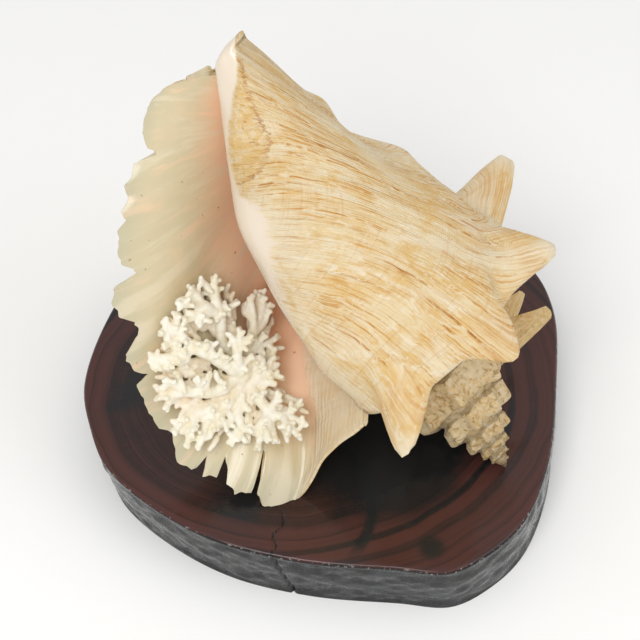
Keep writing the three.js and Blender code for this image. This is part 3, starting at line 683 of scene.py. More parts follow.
class Nodes:
    """Short ways to build a node tree. A value may be a socket, a number, a vector or a colour."""

    def __init__(self, tree):
        self.tree = tree
        self.at = 0

    def node(self, kind, **settings):
        node = self.tree.nodes.new(kind)
        node.location = (self.at % 12 * 190, -(self.at // 12) * 260)
        self.at += 1
        for key, value in settings.items():
            setattr(node, key, value)
        return node

    def put(self, socket, value):
        if isinstance(value, bpy.types.NodeSocket):
            self.tree.links.new(value, socket)
        elif value is not None:
            socket.default_value = (*value, 1.0) if socket.type == "RGBA" else value

    def fill(self, node, *values, **named):
        """Fills a node's inputs in order or by name, and gives back its first output."""
        for socket, value in zip(node.inputs, values):
            self.put(socket, value)
        for name, value in named.items():
            self.put(node.inputs[name.replace("_", " ")], value)
        return node.outputs[0]

    def layer(self, name):
        return self.node("ShaderNodeAttribute", attribute_name=name).outputs["Fac"]

    def place(self):
        return self.node("ShaderNodeTexCoord").outputs["Object"]

    def math(self, operation, a, b=None, c=None):
        return self.fill(self.node("ShaderNodeMath", operation=operation), a, b, c)

    def times(self, *factors):
        product = factors[0]
        for factor in factors[1:]:
            product = self.math("MULTIPLY", product, factor)
        return product

    def sway(self, value, noise, reach):
        """A value moved up and down by a noise, by half the reach each way."""
        return self.math("MULTIPLY_ADD", self.math("SUBTRACT", noise, 0.5), reach, value)

    def vector(self, x, y, z=0.0):
        return self.fill(self.node("ShaderNodeCombineXYZ"), x, y, z)

    def distance(self, a, b):
        node = self.node("ShaderNodeVectorMath", operation="DISTANCE")
        self.fill(node, a, b)
        return node.outputs["Value"]

    def noise(self, vector, scale, detail=3.0, rough=0.55, warp=0.0):
        node = self.node("ShaderNodeTexNoise")
        return self.fill(node, Vector=vector, Scale=scale, Detail=detail, Roughness=rough, Distortion=warp)

    def mottle(self, place_on, scale, low, high, detail=3.0, rough=0.6, warp=0.0):
        """Height and mask of the shared mottle group."""
        node = self.node("ShaderNodeGroup", node_tree=mottle_group())
        self.fill(node, place_on, scale, detail, rough, warp, low, high)
        return node.outputs["Height"], node.outputs["Mask"]

    def ramp(self, value, low, high):
        """Rises smoothly from 0 at the low value to 1 at the high one, which may lie below it."""
        node = self.node("ShaderNodeMapRange", interpolation_type="SMOOTHSTEP")
        return self.fill(node, Value=value, From_Min=low, From_Max=high)

    def blend(self, amount, a, b):
        node = self.node("ShaderNodeMix", data_type="FLOAT")
        return self.fill(node, amount, None, a, b)

    def mix(self, amount, a, b):
        node = self.node("ShaderNodeMix", data_type="RGBA")
        self.fill(node, amount, None, None, None, None, None, a, b)
        return node.outputs[2]

    def over(self, tone, pigment, *amounts):
        """A tone with a colour laid over it by the product of the amounts."""
        return self.mix(self.times(*amounts), tone, pigment)

    def add_up(self, *parts):
        """Sum of heights, each with its share."""
        total = self.times(*parts[0])
        for height, amount in parts[1:]:
            total = self.math("MULTIPLY_ADD", height, amount, total)
        return total

    def bump(self, height, distance, strength=1.0):
        return self.fill(self.node("ShaderNodeBump"), Height=height, Distance=distance, Strength=strength)


def colour(hex_code):
    """Linear colour from a plain colour code."""
    parts = [int(hex_code[i:i + 2], 16) / 255 for i in (0, 2, 4)]
    return tuple(p / 12.92 if p <= 0.04045 else ((p + 0.055) / 1.055) ** 2.4 for p in parts)


def mottle_group():
    """Shared effect: irregular patches, as the plain noise and as a mask between two of its values."""
    group = bpy.data.node_groups.get("mottle")
    if group:
        return group
    group = bpy.data.node_groups.new("mottle", "ShaderNodeTree")
    group.interface.new_socket("Place", in_out="INPUT", socket_type="NodeSocketVector")
    for name, value in (("Scale", 100.0), ("Detail", 3.0), ("Roughness", 0.6), ("Distortion", 0.0),
                        ("Low", 0.4), ("High", 0.6)):
        socket = group.interface.new_socket(name, in_out="INPUT", socket_type="NodeSocketFloat")
        socket.default_value = value
    for name in ("Height", "Mask"):
        group.interface.new_socket(name, in_out="OUTPUT", socket_type="NodeSocketFloat")
    n = Nodes(group)
    given = n.node("NodeGroupInput").outputs
    height = n.noise(*[given[name] for name in ("Place", "Scale", "Detail", "Roughness", "Distortion")])
    put_out = n.node("NodeGroupOutput")
    n.put(put_out.inputs["Height"], height)
    n.put(put_out.inputs["Mask"], n.ramp(height, given["Low"], given["High"]))
    return group


def new_material(name):
    material = bpy.data.materials.new(name)
    material.use_nodes = True
    shader = material.node_tree.nodes["Principled BSDF"]
    return material, shader, Nodes(material.node_tree)


# In the materials, the two numbers of a ramp are the values between which a mask rises, and the last number
# of an over is how strongly the colour is laid on. The shell's grain has its length and width in millimetres.

def shell_material(settings):
    material, shader, n = new_material("conch_shell")
    turn, share, lip, inside, spine, glaze = [n.layer(name) for name in
                                              ("turn", "share", "lip", "inside", "spine", "glaze")]
    place_on = n.place()
    along = n.layer("run")
    across = n.sway(n.layer("cord"), n.noise(place_on, 38.0, 3.0, 0.6), 5.0)

    def grain(length, width, detail=3.0, rough=0.6, warp=0.0, layer=0.0):
        at = n.vector(n.math("DIVIDE", along, length), n.math("DIVIDE", across, width), layer)
        return n.noise(at, 1.0, detail, rough, warp)

    broad = grain(42.0, 30.0, 4.0, 0.6, 0.6, 7.0)
    streaks = grain(48.0, 2.6, 5.0, 0.62, 0.15)
    fine = grain(22.0, 1.15, 3.0, 0.6, 0.1, 2.0)
    breaks = grain(9.0, 4.5, 5.0, 0.7, 0.9, 4.0)
    growth_lines = grain(1.6, 40.0, 3.0, 0.6, 0.3, 3.0)
    speckle = n.noise(place_on, 900.0, 3.0, 0.7)
    stain, tanned = n.mottle(place_on, 55.0, 0.42, 0.64, 5.0, 0.65, 0.3)
    crust, crusted = n.mottle(place_on, 330.0, 0.50, 0.60, 5.0, 0.7, 0.5)

    # Outside: pale ground, warm and calm areas, then the streaks along the cords.
    white = n.ramp(breaks, 0.50, 0.62)
    warm = n.ramp(broad, 0.40, 0.56)
    beside = n.times(n.ramp(glaze, -3.6, -0.6), n.ramp(share, 0.80, 0.68))
    calm = n.times(n.ramp(grain(34.0, 17.0, 3.0, 0.6, 0.5, 13.0), 0.50, 0.60), 0.7)
    calm = n.math("MAXIMUM", calm, beside)
    tone = n.mix(tanned, settings.cream, settings.tan)
    tone = n.over(tone, settings.chalk, white, 0.8)
    tone = n.over(tone, settings.tan, warm, 0.35)
    tone = n.over(tone, settings.chalk, calm, 0.65)
    tone = n.over(tone, settings.tan, beside, n.ramp(stain, 0.50, 0.62), 0.55)
    plain = n.times(n.ramp(spine, 0.42, 0.12), n.math("MULTIPLY_ADD", calm, -0.85, 1.0))
    tone = n.over(tone, settings.ochre, n.ramp(fine, 0.53, 0.60), n.blend(warm, 0.15, 0.85),
                  n.blend(white, 1.0, 0.3), n.blend(plain, 0.25, 1.0))
    streaked = n.blend(plain, 0.2, 1.0)
    tone = n.over(tone, settings.ochre, n.ramp(streaks, 0.55, 0.59), n.ramp(breaks, 0.58, 0.50), streaked,
                  n.blend(warm, 0.22, 0.9))
    tone = n.over(tone, settings.deep_ochre, n.ramp(streaks, 0.60, 0.63), n.ramp(breaks, 0.53, 0.48),
                  streaked, n.blend(warm, 0.5, 0.95))
    tone = n.over(tone, settings.ochre, n.ramp(growth_lines, 0.56, 0.66), 0.22)
    tone = n.over(tone, settings.ochre, n.ramp(spine, 0.10, 0.30), n.ramp(spine, 0.75, 0.40),
                  n.ramp(fine, 0.40, 0.58), 0.5)
    tone = n.over(tone, settings.chalk, n.ramp(spine, 0.60, 0.90), 0.75)

    # The older whorls are crusted.
    old = n.ramp(turn, 1.30, 1.48)
    worn = n.mix(n.ramp(stain, 0.40, 0.60), settings.spire, settings.cream)
    worn = n.over(worn, settings.chalk, crusted, 0.6)
    worn = n.over(worn, settings.grime, n.ramp(crust, 0.47, 0.38), 0.8)
    tone = n.over(tone, worn, old, 0.9)

    # Lining of the opening, from the throat to the margin of the lip, with bands, and the glaze's own colour.
    depth = n.math("SUBTRACT", lip, n.times(n.math("SUBTRACT", turn, FLARE_START / 360), 2.6))
    depth = n.sway(depth, n.noise(place_on, 22.0, 2.0), 0.25)
    depth = n.math("MULTIPLY_ADD", n.ramp(share, 0.40, 0.16), -0.42, depth)
    bands = n.noise(n.vector(n.times(share, 34.0), n.times(lip, 1.6), 9.0), 1.0, 4.0, 0.6, 0.3)
    specks = n.times(n.mottle(place_on, 420.0, 0.78, 0.80, 1.0, 0.3)[1], inside)
    lining = n.mix(n.ramp(depth, -0.7, 0.1), settings.throat, settings.salmon)
    lining = n.over(lining, settings.lip, n.ramp(depth, 0.2, 0.85))
    lining = n.over(lining, settings.margin, n.ramp(lip, 0.78, 1.0))
    lining = n.over(lining, settings.chalk, n.ramp(bands, 0.50, 0.66), 0.45)
    lining = n.over(lining, settings.salmon, n.ramp(bands, 0.46, 0.32), 0.35)
    lining = n.over(lining, settings.grime, specks, 0.7)
    callus = n.mix(n.ramp(turn, 1.00, 1.12), settings.callus, settings.salmon)
    lining = n.over(lining, callus, n.ramp(turn, 0.6, 0.62))
    tone = n.over(tone, settings.chalk, inside, 0.5)

    # Ochre patch beside the glaze near the canal, with a toothed edge and a darker rim.
    patch = n.sway(n.sway(n.layer("patch"), breaks, 1.6), grain(9.0, 2.0, 3.0, 0.7, 0.0, 11.0), -3.0)
    patched = n.ramp(patch, 0.0, 0.1)
    tone = n.over(tone, settings.tan, patched, n.blend(n.ramp(breaks, 0.42, 0.56), 0.8, 0.3))
    tone = n.over(tone, settings.deep_ochre, patched, n.ramp(patch, 0.8, 0.3),
                  n.blend(n.ramp(stain, 0.4, 0.6), 0.25, 0.75))

    # Where the lining and the glaze show: inside up to the fold at the lip's upper corner, and with a ragged
    # border on the body whorl.
    outside = n.math("SUBTRACT", 1.0, inside)
    ragged = n.sway(n.sway(glaze, breaks, 2.2), stain, 2.0)
    folded = n.sway(n.layer("fold"), stain, 1.6)
    lined = n.times(inside, n.ramp(folded, 0.5, -0.5))
    lining = n.over(lining, settings.salmon, n.ramp(folded, -1.2, 0.2), inside, n.ramp(lip, 1.0, 0.6), 0.75)
    glazed = n.times(n.ramp(ragged, -0.35, 0.55), n.ramp(glaze, -0.95, -0.8), outside)
    glazed = n.math("MAXIMUM", lined, glazed)
    smooth = n.math("MAXIMUM", lined, n.times(n.ramp(glaze, -0.9, 0.6), outside))

    cords = n.math("SINE", n.times(across, 2.9))
    relief = n.add_up((streaks, 1.6), (cords, 0.16), (fine, 0.5), (growth_lines, 0.8), (speckle, 0.2),
                      (crust, n.times(old, 4.0)))
    ripples = n.noise(n.vector(n.times(turn, 3.0), n.times(share, 60.0), 5.0), 1.0, 2.0)
    relief = n.math("ADD", n.times(relief, n.math("SUBTRACT", 1.0, smooth)), n.times(ripples, smooth, 0.3))
    n.fill(shader, Base_Color=n.over(tone, lining, glazed), Coat_Weight=n.times(glazed, 0.25),
           Roughness=n.blend(glazed, n.blend(n.ramp(fine, 0.3, 0.7), 0.5, 0.66), 0.25),
           Normal=n.bump(relief, 0.0006, 0.9))
    shader.inputs["Coat Roughness"].default_value = 0.08
    return material


# Slab

# Outline of the upper face, seen from above. The underside is a little smaller and lies to one side.
SLAB_THICKNESS = 30.0
SLAB_OUTLINE = (
    (119, 6), (122, 58), (112, 87), (84, 106), (40, 114), (-12, 112), (-60, 103), (-96, 82),
    (-111, 50), (-119, 7), (-114, -19), (-104, -43), (-81, -66), (-48, -86), (-8, -97), (34, -101),
    (60, -103), (80, -92), (97, -74), (111, -41),
)
SLAB_FIT = 0.997
SLAB_UNDERSIDE_SCALE = 0.975
SLAB_UNDERSIDE_SHIFT = (4.0, -3.5)
SLAB_RIM = 1.6
SLAB_COLUMNS = 720
SLAB_SIDE_ROWS = 34
SLAB_TOP_RINGS = 40
SLAB_RIM_ROWS = 5
SLAB_RADIUS = 110.0
SLAB_CROWDING = 0.8
SLAB_BULGE_END = 0.75
SLAB_SHARP_ANGLE = math.radians(50)
# Waves of the bark: length along the rim, length upwards, seed and share.
BARK_HEIGHT = 1.1
BARK_WAVES = ((9.0, 2.2, 21, 0.5), (3.1, 1.3, 5, 0.35))
BARK_FADE = (2.0, 2.5)
# The crack: where it is, how far it leans on the side and sways on top, and its half width and depth on each.
CRACK_ANGLE = math.radians(-103.8)
CRACK_LEAN = 0.0022
CRACK_SWAY = (0.02, 40)
CRACK_SIDE = (0.7, 1.6)
CRACK_TOP = (0.6, 0.5)
CRACK_TOP_RISE = (0.72, 0.8)


def closed_curve(points, count):
    """Points at even parameters on a smooth closed curve."""
    points = np.asarray(points, float)
    n = len(points)
    around = np.arange(count) / count * n
    k = np.floor(around).astype(int)
    t = (around - k)[:, None]
    p = [points[(k + i) % n] for i in (-1, 0, 1, 2)]

    def knot(a, b):
        return np.maximum(np.linalg.norm(a - b, axis=1, keepdims=True) ** 0.5, 1e-4)

    d0, d1, d2 = knot(p[0], p[1]), knot(p[1], p[2]), knot(p[2], p[3])
    m1 = ((p[1] - p[0]) / d0 - (p[2] - p[0]) / (d0 + d1) + (p[2] - p[1]) / d1) * d1
    m2 = ((p[2] - p[1]) / d1 - (p[3] - p[1]) / (d1 + d2) + (p[3] - p[2]) / d2) * d1
    return hermite(t, p[1], m1, p[2], m2)


def slab_mesh():
    skin = Skin()
    around = closed_curve(SLAB_OUTLINE, SLAB_COLUMNS) * SLAB_FIT
    angle = np.arctan2(around[:, 1], around[:, 0])
    radius = np.linalg.norm(around, axis=1)
    straight = SLAB_THICKNESS - SLAB_RIM
    rings = []
    cracks = []

    def add_ring(flat, height, crack):
        rings.append(np.column_stack([flat, np.broadcast_to(height, len(flat))]))
        cracks.append(crack)

    for height in np.linspace(0, straight, SLAB_SIDE_ROWS):
        rise = height / SLAB_THICKNESS
        scale = SLAB_UNDERSIDE_SCALE + (1 - SLAB_UNDERSIDE_SCALE) * smoothstep(rise, 0.0, SLAB_BULGE_END)
        bark = sum(waves(angle * SLAB_RADIUS / length, height / climb, seed) * share
                   for length, climb, seed, share in BARK_WAVES)
        fade = smoothstep(height, 0, BARK_FADE[0]) * smoothstep(straight - height, 0.0, BARK_FADE[1])
        gap = angle_between(angle, CRACK_ANGLE + CRACK_LEAN * (SLAB_THICKNESS - height))
        split = np.exp(-(gap * SLAB_RADIUS / CRACK_SIDE[0]) ** 2)
        inset = -BARK_HEIGHT * fade * (0.5 + bark) - CRACK_SIDE[1] * split
        shift = np.array(SLAB_UNDERSIDE_SHIFT) * (1 - rise)
        add_ring(around * (scale + inset / radius)[:, None] + shift, height, split)
    for k in range(1, SLAB_RIM_ROWS + 1):
        bend = math.pi / 2 * k / SLAB_RIM_ROWS
        inward = SLAB_RIM * (1 - math.cos(bend))
        add_ring(around * (1 - inward / radius)[:, None], straight + SLAB_RIM * math.sin(bend), cracks[-1])
    edge = rings[-1][:, :2]
    for share in (1 - np.linspace(0, 1, SLAB_TOP_RINGS + 1)[1:-1]) ** SLAB_CROWDING:
        gap = angle_between(angle, CRACK_ANGLE + CRACK_SWAY[0] * np.sin(share * CRACK_SWAY[1]))
        split = np.exp(-(gap * np.linalg.norm(edge * share, axis=1) / CRACK_TOP[0]) ** 2)
        split *= smoothstep(share, *CRACK_TOP_RISE)
        add_ring(edge * share, SLAB_THICKNESS - CRACK_TOP[1] * split, split)
    ids = skin.add(np.stack(rings), crack=np.stack(cracks))
    ids = np.concatenate([ids, ids[:, :1]], 1)
    skin.quads(ids[::-1])
    under = skin.add_point((*SLAB_UNDERSIDE_SHIFT, 0.0))
    middle = skin.add_point((0.0, 0.0, SLAB_THICKNESS))
    for i in range(SLAB_COLUMNS):
        skin.faces.append([under, ids[0, i + 1], ids[0, i]])
        skin.faces.append([middle, ids[-1, i], ids[-1, i + 1]])
    return skin.mesh("wood_slab_dressed")


# Places in the wood in metres: middle of the rings, painted shade under the shell and knot near the rim.
PITH = (-0.012, 0.006)
PAINTED_SHADE_PLACE = (0.038, -0.036, 0.03)
KNOT_PLACE = (0.052, -0.0895, 0.03)
# Light grey of the painted glints on the rim.
RIM_PAINTED_GLINT = (0.55, 0.55, 0.53)
CRACK_COLOUR = (0.004, 0.004, 0.004)


def wood_material(settings):
    material, shader, n = new_material("varnished_end_grain")
    place_on = n.place()
    split = n.node("ShaderNodeSeparateXYZ")
    n.fill(split, place_on)
    x, y, z = split.outputs
    warp = n.noise(place_on, 9.0, 3.0, 0.6)
    patch, patched = n.mottle(place_on, 11.0, 0.46, 0.58, 4.0, 0.55, 0.6)
    pores = n.mottle(place_on, 1400.0, 0.56, 0.70, 2.0)[1]

    # Rings and rays round the pith.
    px = n.math("SUBTRACT", x, PITH[0])
    py = n.times(n.math("SUBTRACT", y, PITH[1]), 1.12)
    radius = n.math("SQRT", n.math("ADD", n.times(px, px), n.times(py, py)))
    radius = n.sway(radius, warp, 0.02)
    rings = n.noise(n.vector(n.times(radius, 900.0), 0.0), 1.0, 3.0, 0.6)
    wide = n.noise(n.vector(n.times(radius, 170.0), 0.0, 4.0), 1.0, 2.0, 0.5)
    rays = n.noise(n.vector(n.times(n.math("ARCTAN2", py, px), 90.0), n.times(radius, 30.0)), 1.0, 2.0, 0.6)
    tone = n.over(settings.heart, settings.ring, n.ramp(rings, 0.36, 0.66), 0.6)
    tone = n.over(tone, settings.rim, n.ramp(wide, 0.52, 0.66), 0.3)
    tone = n.over(tone, settings.ring, n.ramp(rays, 0.45, 0.7), 0.25)
    tone = n.over(tone, settings.stain, patched, 0.9)
    tone = n.over(tone, settings.rim, n.ramp(radius, 0.086, 0.104), n.ramp(wide, 0.35, 0.55), 0.75)

    # Near black: a bent streak towards the front rim, painted shade under the shell, a knot and the pores.
    off = n.math("ADD", y, 0.0714)
    middle = n.math("MULTIPLY_ADD", off, n.math("MULTIPLY_ADD", off, -11.4, 0.144), 0.0246)
    beside = n.sway(n.math("ABSOLUTE", n.math("SUBTRACT", x, middle)), warp, 0.006)
    painted_shade = n.sway(n.distance(place_on, PAINTED_SHADE_PLACE), patch, 0.08)
    tone = n.over(tone, settings.stain, n.ramp(beside, 0.0048, 0.0024), n.ramp(y, -0.012, -0.03),
                  n.ramp(y, -0.098, -0.085), 0.95)
    # Painted shade under the shell, laid on in the near black stain colour.
    tone = n.over(tone, settings.stain, n.ramp(painted_shade, 0.050, 0.030), 0.9)
    tone = n.over(tone, settings.stain, n.ramp(n.distance(place_on, KNOT_PLACE), 0.009, 0.003), 0.9)
    tone = n.over(tone, settings.stain, pores, 0.3)

    # Bark side, the crack and painted glints on the rim between bark and cut face.
    bark_at = n.node("ShaderNodeMapping")
    stretched = n.fill(bark_at, Vector=place_on, Scale=(1.0, 1.0, 1.8))
    bark_noise = n.noise(stretched, 48.0, 7.0, 0.68, 1.8)
    bark_fine = n.noise(place_on, 420.0, 4.0, 0.65)
    bark = n.mix(n.ramp(bark_noise, 0.46, 0.70), settings.bark, settings.bark_light)
    bark = n.over(bark, settings.stain, n.ramp(bark_fine, 0.56, 0.72), 0.5)
    on_side = n.ramp(z, 0.0293, 0.0283)
    tone = n.over(tone, bark, on_side)
    tone = n.over(tone, CRACK_COLOUR, n.ramp(n.layer("crack"), 0.25, 0.6), 0.95)
    # Painted glints: light grey flecks on the rounded rim.
    tone = n.over(tone, RIM_PAINTED_GLINT, n.ramp(z, 0.0276, 0.0284), n.ramp(z, 0.0297, 0.0291),
                  n.ramp(n.noise(place_on, 520.0, 3.0, 0.6), 0.58, 0.64), 0.75)

    top_gloss = n.blend(n.ramp(patch, 0.3, 0.7), 0.16, 0.26)
    side_gloss = n.blend(n.ramp(bark_fine, 0.4, 0.6), 0.14, 0.4)
    glint = n.times(bark_fine, n.ramp(z, 0.0266, 0.0282), n.ramp(z, 0.0298, 0.029))
    side_relief = n.add_up((bark_fine, 1.0), (glint, 3.0), (bark_noise, 8.0))
    relief = n.blend(on_side, n.add_up((warp, 0.2), (rings, 0.12)), side_relief)
    n.fill(shader, Base_Color=tone, Roughness=n.blend(on_side, top_gloss, side_gloss),
           Coat_Weight=n.blend(on_side, 0.25, 0.8), Normal=n.bump(relief, 0.0008))
    shader.inputs["Specular IOR Level"].default_value = 0.3
    shader.inputs["Coat Roughness"].default_value = 0.07
    return material


# Coral

# The coral's hub and the directions up and out of the opening, and the thickness of its parts.
CORAL_HUB = np.array([-36.0, -12.0, 61.7])
CORAL_TILT = math.radians(50)
CORAL_UP = np.array([0, math.sin(CORAL_TILT), math.cos(CORAL_TILT)])
CORAL_OUT = np.array([0, -math.cos(CORAL_TILT), math.sin(CORAL_TILT)])
CORAL_WIDTH = 0.95
CORAL_STEM = ((2.6, 4.0), (5.5, 5.5), (9.0, 4.0))
CORAL_THICK = 3.3
CORAL_THIN = 2.5
CORAL_TWIG = 2.3
CORAL_TIP = 1.5
CORAL_VOXEL = 0.55
CORAL_SAG = 0.2
# Distances off the lining over which the coral's painted shade and pink bounce light fade out.
CORAL_PAINTED_SHADE_RANGE = (3.0, 13.0)
CORAL_UNEVEN = 0.07
CORAL_BALL_STEP = 0.42
CORAL_KNOB = (1.7, 1.3, 4.5)
# Web between the arms: step from branch to branch, how far one may stray, rows, columns, least reach from the
# hub, how far inside the arms' tips it stays, how near an arm's direction, and thickness.
WEB_STEP = 4.7
WEB_STRAY = 0.9
WEB_ROWS = range(-8, 11)
WEB_COLUMNS = range(-10, 8)
WEB_FROM = 5.0
WEB_INSIDE = 2.5
WEB_ARM_ANGLE = math.radians(9)
WEB_THICKNESS = (1.7, 1.4)
# Gaps in the coral through which the shell's lining shows: right, up and half the width.
CORAL_GAPS = (
    (-3, 27, 3.2), (1, 23, 2.6), (-17, 19, 4.6), (-17, 6, 3.6), (2, 9, 2.2), (11, -3, 3.2), (-22, -7, 3.4),
    (26, -8, 3.4), (9, 23, 2.0), (-10, 20, 2.5), (-12, 5, 2.5), (10, -12, 2.0), (20, 30, 3.0),
)
# An arm has a path of points and then its twigs. A point says how far right, up and off the lining it lies. A
# twig says from which point of the path it grows, how far right and up its tip lies, and how far it lifts.
CORAL_ARMS = {
    "upper": (
        ((0, 0, 5), (-4.5, 8, 7), (-10, 15, 9), (-11, 24, 10), (-11.5, 29, 11), (-13.5, 36, 12)),
        ((5, -20.5, 45.5, 1), (5, -14, 45.5, 2), (4, -9, 33, 2), (4, -3.5, 34, 3)),
    ),
    "upper_fan": (
        ((-11.5, 29, 11), (-14.5, 30.5, 11.5), (-20, 34, 13)),
        ((2, -24, 41, 2), (2, -29.5, 36, 1), (2, -29, 33, 4), (1, -25, 29, 2), (1, -20.5, 25, 3),
         (1, -27.5, 26, 3)),
    ),
    "upper_right": (
        ((0.5, 1, 9), (2, 9, 9), (4, 19, 8), (8.5, 29.5, 9)),
        ((3, 9, 39.5, 1), (3, 12.5, 33, 2), (2, 3.5, 36.5, 3), (2, 11.5, 27, 3), (1, 16.5, 18, 3),
         (1, 10, 19, 5)),
    ),
    "front": (
        ((0, 0, 8), (-2, 5, 13), (-3, 12, 18)),
        ((2, -5.5, 19.5, 2), (2, -1, 20.5, 3), (2, 3, 18, 4), (1, 4, 9, 3)),
    ),
    "right": (
        ((1, -1, 6), (6, -2, 8), (11, 2, 10)),
        ((2, 9, 9, 3), (2, 15, 12, 1), (2, 18, -1, 3), (2, 16.5, 4, 1), (1, 5, 8, 3), (1, 15, -4, 4)),
    ),
    "lower_right": (
        ((1, -2, 6), (6, -10, 8), (12.5, -18, 9), (20, -19, 11)),
        ((1, 9, -9, 4), (2, 16, -30, 1), (2, 5.5, -26, 1), (2, 7, -33, 0), (2, 12, -28.5, 4),
         (2, 17.5, -9, 4), (3, 28, -13, 2), (3, 31, -22, 0), (3, 27, -28, 0), (3, 23, -26, 4)),
    ),
    "bottom": (
        ((0, -2, 6), (-2, -12, 8), (-3.5, -18, 9), (-2, -23, 9)),
        ((3, -0.5, -30, 1), (3, -6, -31, 1), (3, 3, -26, 3), (2, -9, -24, 2), (1, 2, -15, 4)),
    ),
    "lower_left": (
        ((-1, -2, 7), (-8, -13, 8), (-16, -15, 8), (-24, -18, 8)),
        ((3, -32.5, -21.5, 0), (3, -33, -25, 1), (3, -27, -32, 0), (2, -21, -32, 1), (2, -14, -25, 2),
         (1, -11, -20, 4), (3, -25, -25, 3)),
    ),
    "left": (
        ((-1, -1, 7), (-10, -6, 9), (-18.5, -7.5, 10), (-28.5, -6.5, 9), (-33, -8, 8)),
        ((4, -41, -5.5, 0), (4, -40, -9.5, 1), (4, -37, -13.5, 1), (3, -36.5, -1, 2), (3, -31, 1, 4),
         (2, -16.5, 0, 5), (2, -22, -2, 5), (1, -13, 0, 5)),
    ),
    "upper_left": (
        ((-1, 1, 9), (-8, 5, 12), (-15, 9.5, 12), (-23, 13, 11), (-28, 17, 10), (-31, 21, 9)),
        ((5, -37, 25.5, 0), (5, -38.5, 20, 1), (4, -37, 14.5, 1), (3, -34, 9, 0), (3, -30, 7, 3),
         (2, -21, 16, 4), (2, -16, 15, 4), (1, -11, 11, 5), (5, -31, 27, 1)),
    ),
    "left_tip": (
        ((-28, 9, 11), (-33, 8.5, 10), (-36, 9, 10)),
        ((2, -43, 9.5, 0), (2, -42, 5.5, 1), (1, -36, 4.5, 2)),
    ),
}


def lining_height(x, y, sag=CORAL_SAG):
    """How far out the shell's lining lies, to the right of and above the coral's hub."""
    side = np.where(x < 0, -x * (0.6 + 0.005 * y), -x * (0.35 + 0.02 * y))
    return 6 + side + sag * np.maximum(0, -y - 14)


def coral_point(right, y, lift):
    x = right * CORAL_WIDTH
    return CORAL_HUB + np.array([x, 0, 0]) + CORAL_UP * y + CORAL_OUT * (lining_height(x, y) + lift)


def ball_template():
    """Corners and faces of a small round ball."""
    bm = bmesh.new()
    bmesh.ops.create_icosphere(bm, subdivisions=2, radius=1.0)
    corners = np.array([vertex.co[:] for vertex in bm.verts])
    faces = np.array([[vertex.index for vertex in face.verts] for face in bm.faces])
    bm.free()
    return corners, faces


def any_way(rng):
    return np.array([rng.uniform(-1, 1) for _ in range(3)])


def add_limb(balls, start, end, r_start, r_end, rng, bend=0.06):
    """A limb of overlapping balls from start to end, slightly bent and uneven."""
    length = float(np.linalg.norm(end - start))
    side = any_way(rng)
    steps = max(3, int(length / (CORAL_BALL_STEP * min(r_start, r_end))))
    for i in range(steps + 1):
        t = i / steps
        point = start + (end - start) * t + side * (bend * length * math.sin(math.pi * t))
        radius = (r_start + (r_end - r_start) * t) * (1 + rng.uniform(-CORAL_UNEVEN, CORAL_UNEVEN))
        balls.append((*point, radius))


def side_way(ahead, rng):
    """A direction mostly square to a limb."""
    way = any_way(rng)
    along = unit(ahead)
    way -= along * (way @ along) * 0.75
    return unit(way)


def add_fingers(balls, tip, ahead, count, rng):
    """Short blunt fingers that spread from the end of a twig."""
    for _ in range(count):
        way = unit(unit(ahead) * rng.uniform(0.75, 1.1) + side_way(ahead, rng) * rng.uniform(0.4, 0.7))
        add_limb(balls, tip, tip + way * rng.uniform(2.0, 3.4), CORAL_TIP, CORAL_TIP * 0.78, rng, 0)


def fill_web(balls, rng):
    """Short knobby branches in the spaces between the arms, apart from the gaps that stay open."""
    tips = np.array([twig[1:3] for _, twigs in CORAL_ARMS.values() for twig in twigs], float)
    tip_angles = np.arctan2(tips[:, 1], tips[:, 0])
    tip_reach = np.linalg.norm(tips, axis=1)
    for row in WEB_ROWS:
        for column in WEB_COLUMNS:
            spot = np.array([(column + (row % 2) / 2) * WEB_STEP + rng.uniform(-WEB_STRAY, WEB_STRAY),
                             row * WEB_STEP * 0.87 + rng.uniform(-WEB_STRAY, WEB_STRAY)])
            reach = float(np.linalg.norm(spot))
            near = angle_between(tip_angles, math.atan2(spot[1], spot[0])) < WEB_ARM_ANGLE
            inside = bool(np.any(near & (tip_reach > reach + WEB_INSIDE)))
            open_gap = any(math.hypot(spot[0] - x, spot[1] - y) < size for x, y, size in CORAL_GAPS)
            if not inside or open_gap or reach < WEB_FROM:
                continue
            lift = rng.uniform(5.5, 8.5)
            end = coral_point(*spot, lift)
            back = spot * (1 - WEB_FROM / reach) + np.array([rng.uniform(-1.5, 1.5), rng.uniform(-1.5, 1.5)])
            start = coral_point(*back, lift - rng.uniform(0.5, 2.0))
            add_limb(balls, start, end, *WEB_THICKNESS, rng)
            add_fingers(balls, end, end - start, 1, rng)


